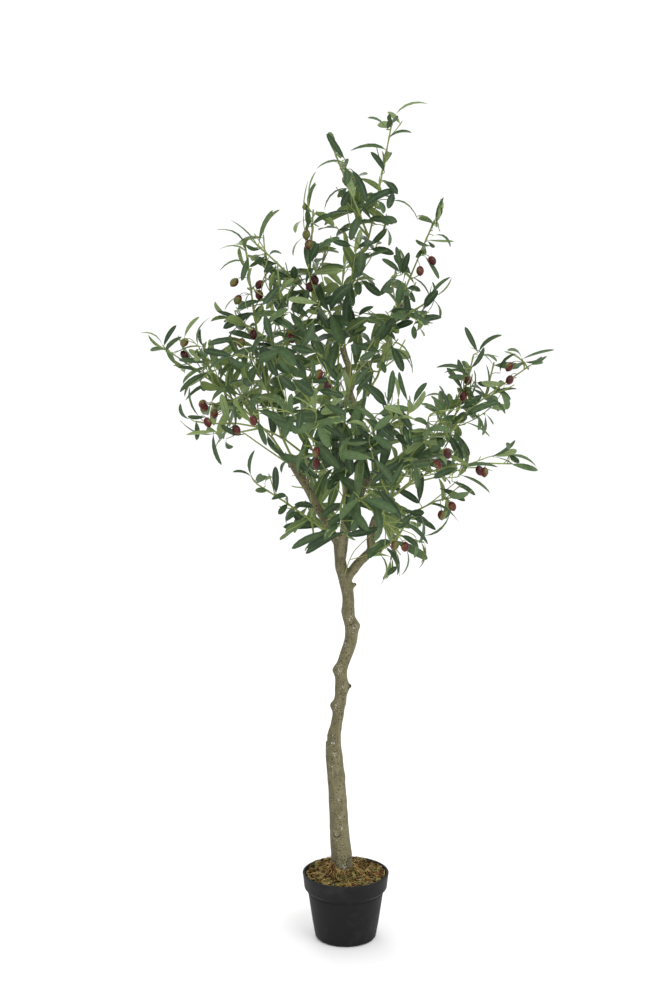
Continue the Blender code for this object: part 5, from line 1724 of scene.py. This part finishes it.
def grow(name, spec):
    """All twigs and leaves of one spray by one seeded rule."""
    rng = random.Random(spec["seed"])
    axis = LIMB_ENDS[spec["seat"]][1]
    lines = [shortened(line, LEAF_REACH, TWIG_STEP) for line in MAIN_TWIGS[name]]
    mains = [Limb(lines[0], axis)] + [Limb(line) for line in lines[1:]]
    for main in mains:
        main.youths = (0.0, 1.0)
    sides = []
    for main in mains:
        sides += side_twigs(name, main, SIDE_TWIG_START, SIDE_TWIG_SPACING, SIDE_TWIG_LENGTH,
                            SIDE_TWIG_TAPER, SIDE_YOUTH, rng)
    fine = []
    for twig in sides:
        fine += side_twigs(name, twig, FINE_TWIG_START, FINE_TWIG_SPACING, FINE_TWIG_LENGTH,
                           FINE_TWIG_TAPER, FINE_YOUTH, rng)
    leaves, taken = [], []
    carriers = [Limb(smooth_line(line, TWIG_STEP)) for line in LOOSE_TWIGS.get(name, ())]
    own = random.Random(len(name))
    for row in seen_of[name]:
        leaf, carrier = seen_leaf(row, mains + sides, own)
        leaves.append(leaf)
        taken.append(strip_tree(leaf)[1])
        if carrier:
            carriers.append(carrier)
    hub(name, leaves, taken, mains[0], rng)
    for twigs, first in zip((mains, sides, fine), FIRST_LEAVES):
        for twig in twigs:
            leaves_on(name, leaves, taken, twig, rng, first)
    return mains, sides, fine + carriers, leaves


sprays = {name: grow(name, spec) for name, spec in MASSES.items()}
for name, (mains, sides, fine, leaves) in sprays.items():
    print(name, "side twigs", len(sides), "fine twigs", len(fine), "leaves", len(leaves))
print("leaves in all:", sum(len(spray[3]) for spray in sprays.values()))

# %% [markdown]
# The twigs are wire in light green plastic, thicker at the stem. Each leaf sits in a small
# sleeve, which shows as a swelling. Points along the tube carry their own radius, so a larger one
# at each leaf's root is all that a sleeve takes.

# %% Twigs: mesh and finish
STEM_TIP_RADIUS = 0.0013
SIDE_RADIUS = 0.0011
SIDE_TIP_RADIUS = 0.0009
FINE_RADIUS = 0.0008
SLEEVE = 1.38
TWIG_SIDES_STEP = 1
TWIG_GREENS = ((122, 136, 66), (134, 146, 74), (106, 122, 58))


def twig_line(twig, root, tip, roots, finish):
    """A twig as a tube: its points, its radius at each with sleeves, and its finish."""
    last = len(twig.line) - 1
    radii = [root + (tip - root) * i / last for i in range(last + 1)]
    for i, point in enumerate(twig.line):
        if 0 < i < last and roots.find(point)[2] < TWIG_STEP * 0.5:
            radii[i] *= SLEEVE
    return twig.line, radii, finish


def make_twigs(name):
    """All twigs of a spray in one mesh."""
    mains, sides, fine, leaves = sprays[name]
    roots = search_tree([leaf.root for leaf in leaves])
    rng = random.Random(MASSES[name]["seed"])
    lines = [twig_line(twig, STEM_RADIUS, STEM_TIP_RADIUS, roots, 0) for twig in mains]
    lines += [twig_line(twig, SIDE_RADIUS, SIDE_TIP_RADIUS, roots, rng.choice((0, 1, 2)))
              for twig in sides]
    lines += [twig_line(twig, FINE_RADIUS, FINE_RADIUS, roots, 1) for twig in fine]
    made = tubes(name.replace("foliage", "twigs"), lines, TWIG_SIDES_STEP, finishes=twig_finishes)
    bpy.ops.object.shade_smooth_by_angle(angle=math.radians(60))
    finish_piece(made, [name])


twig_finishes = palette("twig_green", TWIG_GREENS, 0.46)
for name in MASSES:
    make_twigs(name)

# %% [markdown]
# The leaves are printed cloth: dark green above with paler veins, lighter and yellower below,
# with a light rib. Leaves at the rim are younger and lighter, each spray leans to its own tone,
# and single leaves differ a little. So there are a few plain tones for each side, dealt out leaf
# by leaf, and no pattern to smear.

# %% Leaves: tones
# From the dark old leaves of the middle to the light young ones of the rim.
TOP_TONES = ((48, 66, 44), (58, 77, 49), (66, 88, 56), (80, 101, 64), (112, 129, 82))
VEIN_TONES = ((57, 77, 51), (67, 88, 56), (76, 99, 63), (91, 112, 72), (124, 141, 91))
UNDER_TONES = ((88, 108, 63), (104, 123, 72), (126, 144, 88))
RIB_TONE = (76, 94, 54)
UNDER_RIB_TONE = (138, 152, 88)
LEAF_CLOTH = dict(roughness=0.5, Specular_IOR_Level=0.22)

leaf_finishes = palette("leaf_top", TOP_TONES, **LEAF_CLOTH)
leaf_finishes += palette("leaf_vein", VEIN_TONES, **LEAF_CLOTH)
leaf_finishes += palette("leaf_under", UNDER_TONES, **LEAF_CLOTH)
leaf_finishes += [plain("leaf_rib", RIB_TONE, **LEAF_CLOTH),
                  plain("leaf_under_rib", UNDER_RIB_TONE, **LEAF_CLOTH)]
print("leaf tones:", len(leaf_finishes))


def finish_numbers(tone, under):
    """The number of the finish for each role of a face, given the leaf's tones."""
    tops = len(TOP_TONES)
    unders = len(UNDER_TONES)
    return {BLADE: tone, VEIN: tops + tone, UNDER: 2 * tops + under, RIB: 2 * tops + unders,
            UNDER_RIB: 2 * tops + unders + 1}


def dealt(middle, spread, count, rng):
    """The number of a tone, dealt at random round a middle one."""
    return min(max(round(rng.gauss(middle, spread)), 0), count - 1)


# %% Leaves: mesh
def from_arrays(name, places, faces, numbers, finishes):
    """One object from copies' points, its faces, and the number of the finish of each face."""
    mesh = bpy.data.meshes.new(name)
    mesh.from_pydata(np.concatenate(places).tolist(), [], faces)
    mesh.update()
    for finish in finishes:
        mesh.materials.append(finish)
    mesh.polygons.foreach_set("material_index", numbers)
    made = bpy.data.objects.new(name, mesh)
    bpy.context.scene.collection.objects.link(made)
    return only(made)


def make_leaves(name):
    """All leaves of a spray, joined into one mesh from arrays."""
    leaves = sprays[name][3]
    rng = random.Random(MASSES[name]["seed"] + 100)
    lean = rng.uniform(-0.4, 0.4)
    places, faces, numbers = [], [], []
    for leaf in leaves:
        base = len(places) * len(leaf_places)
        places.append(leaf.bend(leaf_places))
        faces += [[base + corner for corner in face] for face in leaf_faces]
        chosen = finish_numbers(dealt(3.6 * leaf.youth + lean, 0.75, len(TOP_TONES), rng),
                                dealt(2.2 * leaf.youth + lean, 0.6, len(UNDER_TONES), rng))
        numbers += [chosen[role] for role in leaf_roles]
    made = from_arrays(name.replace("foliage", "leaves"), places, faces, numbers, leaf_finishes)
    bpy.ops.object.shade_smooth_by_angle(angle=math.radians(50))
    finish_piece(made, [name])


for name in MASSES:
    make_leaves(name)

# %% [markdown]
# The olives are glossy plastic, dull green on one side and red-brown on the other, mostly in
# pairs on thin dark stalks. One olive is shaped from a sphere: a little pointed at its foot and
# dimpled where the stalk goes in. Its faces take one of four tones by where they lie, with a
# ragged border, and each copy is turned its own way.

# %% Olives: one olive and its tones
OLIVE_TONES = ((84, 26, 22), (60, 18, 18), (96, 50, 28), (92, 92, 42))
STALK_TONE = (84, 78, 42)
# From the green side on: where each next tone begins, and the number of each tone.
TONE_BORDERS = (-0.15, 0.12, 0.8)
TONE_ORDER = (3, 2, 0, 1)
RAGGED = 0.14

nothing_selected()
bpy.ops.mesh.primitive_uv_sphere_add(segments=14, ring_count=10, radius=0.5, location=(0, 0, 0))
olive = bpy.context.object
olive.scale = (OLIVE_WIDTH, OLIVE_WIDTH, OLIVE_LENGTH)
apply_place(olive)
for point in olive.data.vertices:
    share = point.co.z / (OLIVE_LENGTH / 2)
    narrow = 1.0 - 0.10 * max(0.0, -share) ** 2 - 0.05 * max(0.0, share)
    point.co.x *= narrow
    point.co.y *= narrow
    away = math.hypot(point.co.x, point.co.y) / (OLIVE_WIDTH / 2)
    if share > 0.5:
        point.co.z -= 0.0011 * math.exp(-(away / 0.22) ** 2)
    if share < -0.5:
        point.co.z -= 0.0007 * math.exp(-(away / 0.20) ** 2)
olive_places = np.array([point.co[:] for point in olive.data.vertices])
# A new sphere's faces come in another order in each run, so they are put in order.
in_order = sorted(olive.data.polygons, key=lambda face: sorted(face.vertices))
olive_faces = [list(face.vertices) for face in in_order]
olive_middles = [face.center.normalized() for face in in_order]
bpy.data.objects.remove(olive, do_unlink=True)
print("olive:", len(olive_faces), "faces")

# %% Olives: hang each from the nearest twig
STALK_RADIUS = 0.0006
STALK_LENGTH = 0.022
STALK_REACH = 0.045


def hanging(centre):
    """The nearest twig point that an olive can hang from."""
    def price(point):
        away = (point - centre).length
        return abs(away - STALK_LENGTH) + 0.5 * max(0.0, centre.z + 0.004 - point.z)

    return min((point for mains, sides, fine, leaves in sprays.values()
                for twig in mains + sides + fine for point in twig.line[1:]), key=price)


def make_olives():
    """All olives in one piece, each with its own turn and tones, and the lines of their stalks."""
    rng = random.Random(77)
    places, faces, numbers, stalks = [], [], [], []
    for centre in OLIVES:
        root = hanging(centre)
        away = centre - root
        if away.length > STALK_REACH:
            centre = root + away * STALK_REACH / away.length
        top = UP * 1.1 - away.normalized() + Vector((rng.gauss(0, 0.2), rng.gauss(0, 0.2), 0))
        turn = top.normalized().to_track_quat("Z", "X").to_matrix()
        ripe = Vector((rng.gauss(0, 1), rng.gauss(0, 1), rng.gauss(0, 0.6))).normalized()
        green = rng.uniform(-0.9, 0.2)
        base = len(places) * len(olive_places)
        places.append(olive_places @ np.array(turn).T + np.array(centre[:]))
        faces += [[base + corner for corner in face] for face in olive_faces]
        for middle in olive_middles:
            share = middle.dot(ripe) - green + rng.uniform(-RAGGED, RAGGED)
            numbers.append(TONE_ORDER[sum(share >= border for border in TONE_BORDERS)])
        neck = centre + turn @ Vector((0, 0, OLIVE_LENGTH * 0.43))
        line = [hermite(root, (neck - root) * 0.8 + UP * 0.010, neck,
                        -(turn @ UP) * 0.018, k / 8) for k in range(9)]
        stalks.append((line, [STALK_RADIUS * (1.6 if k == 8 else 1.0) for k in range(9)], 0))
    olive_finishes = palette("olive", OLIVE_TONES, 0.22, Specular_IOR_Level=0.32)
    return from_arrays("olives", places, faces, numbers, olive_finishes), stalks


olives, stalks = make_olives()
bpy.ops.object.shade_smooth()
finish_piece(olives, [])
olive_stalks = tubes("olive_stalks", stalks, 1, finishes=[plain("stalk", STALK_TONE, 0.5)])
finish_piece(olive_stalks, [])
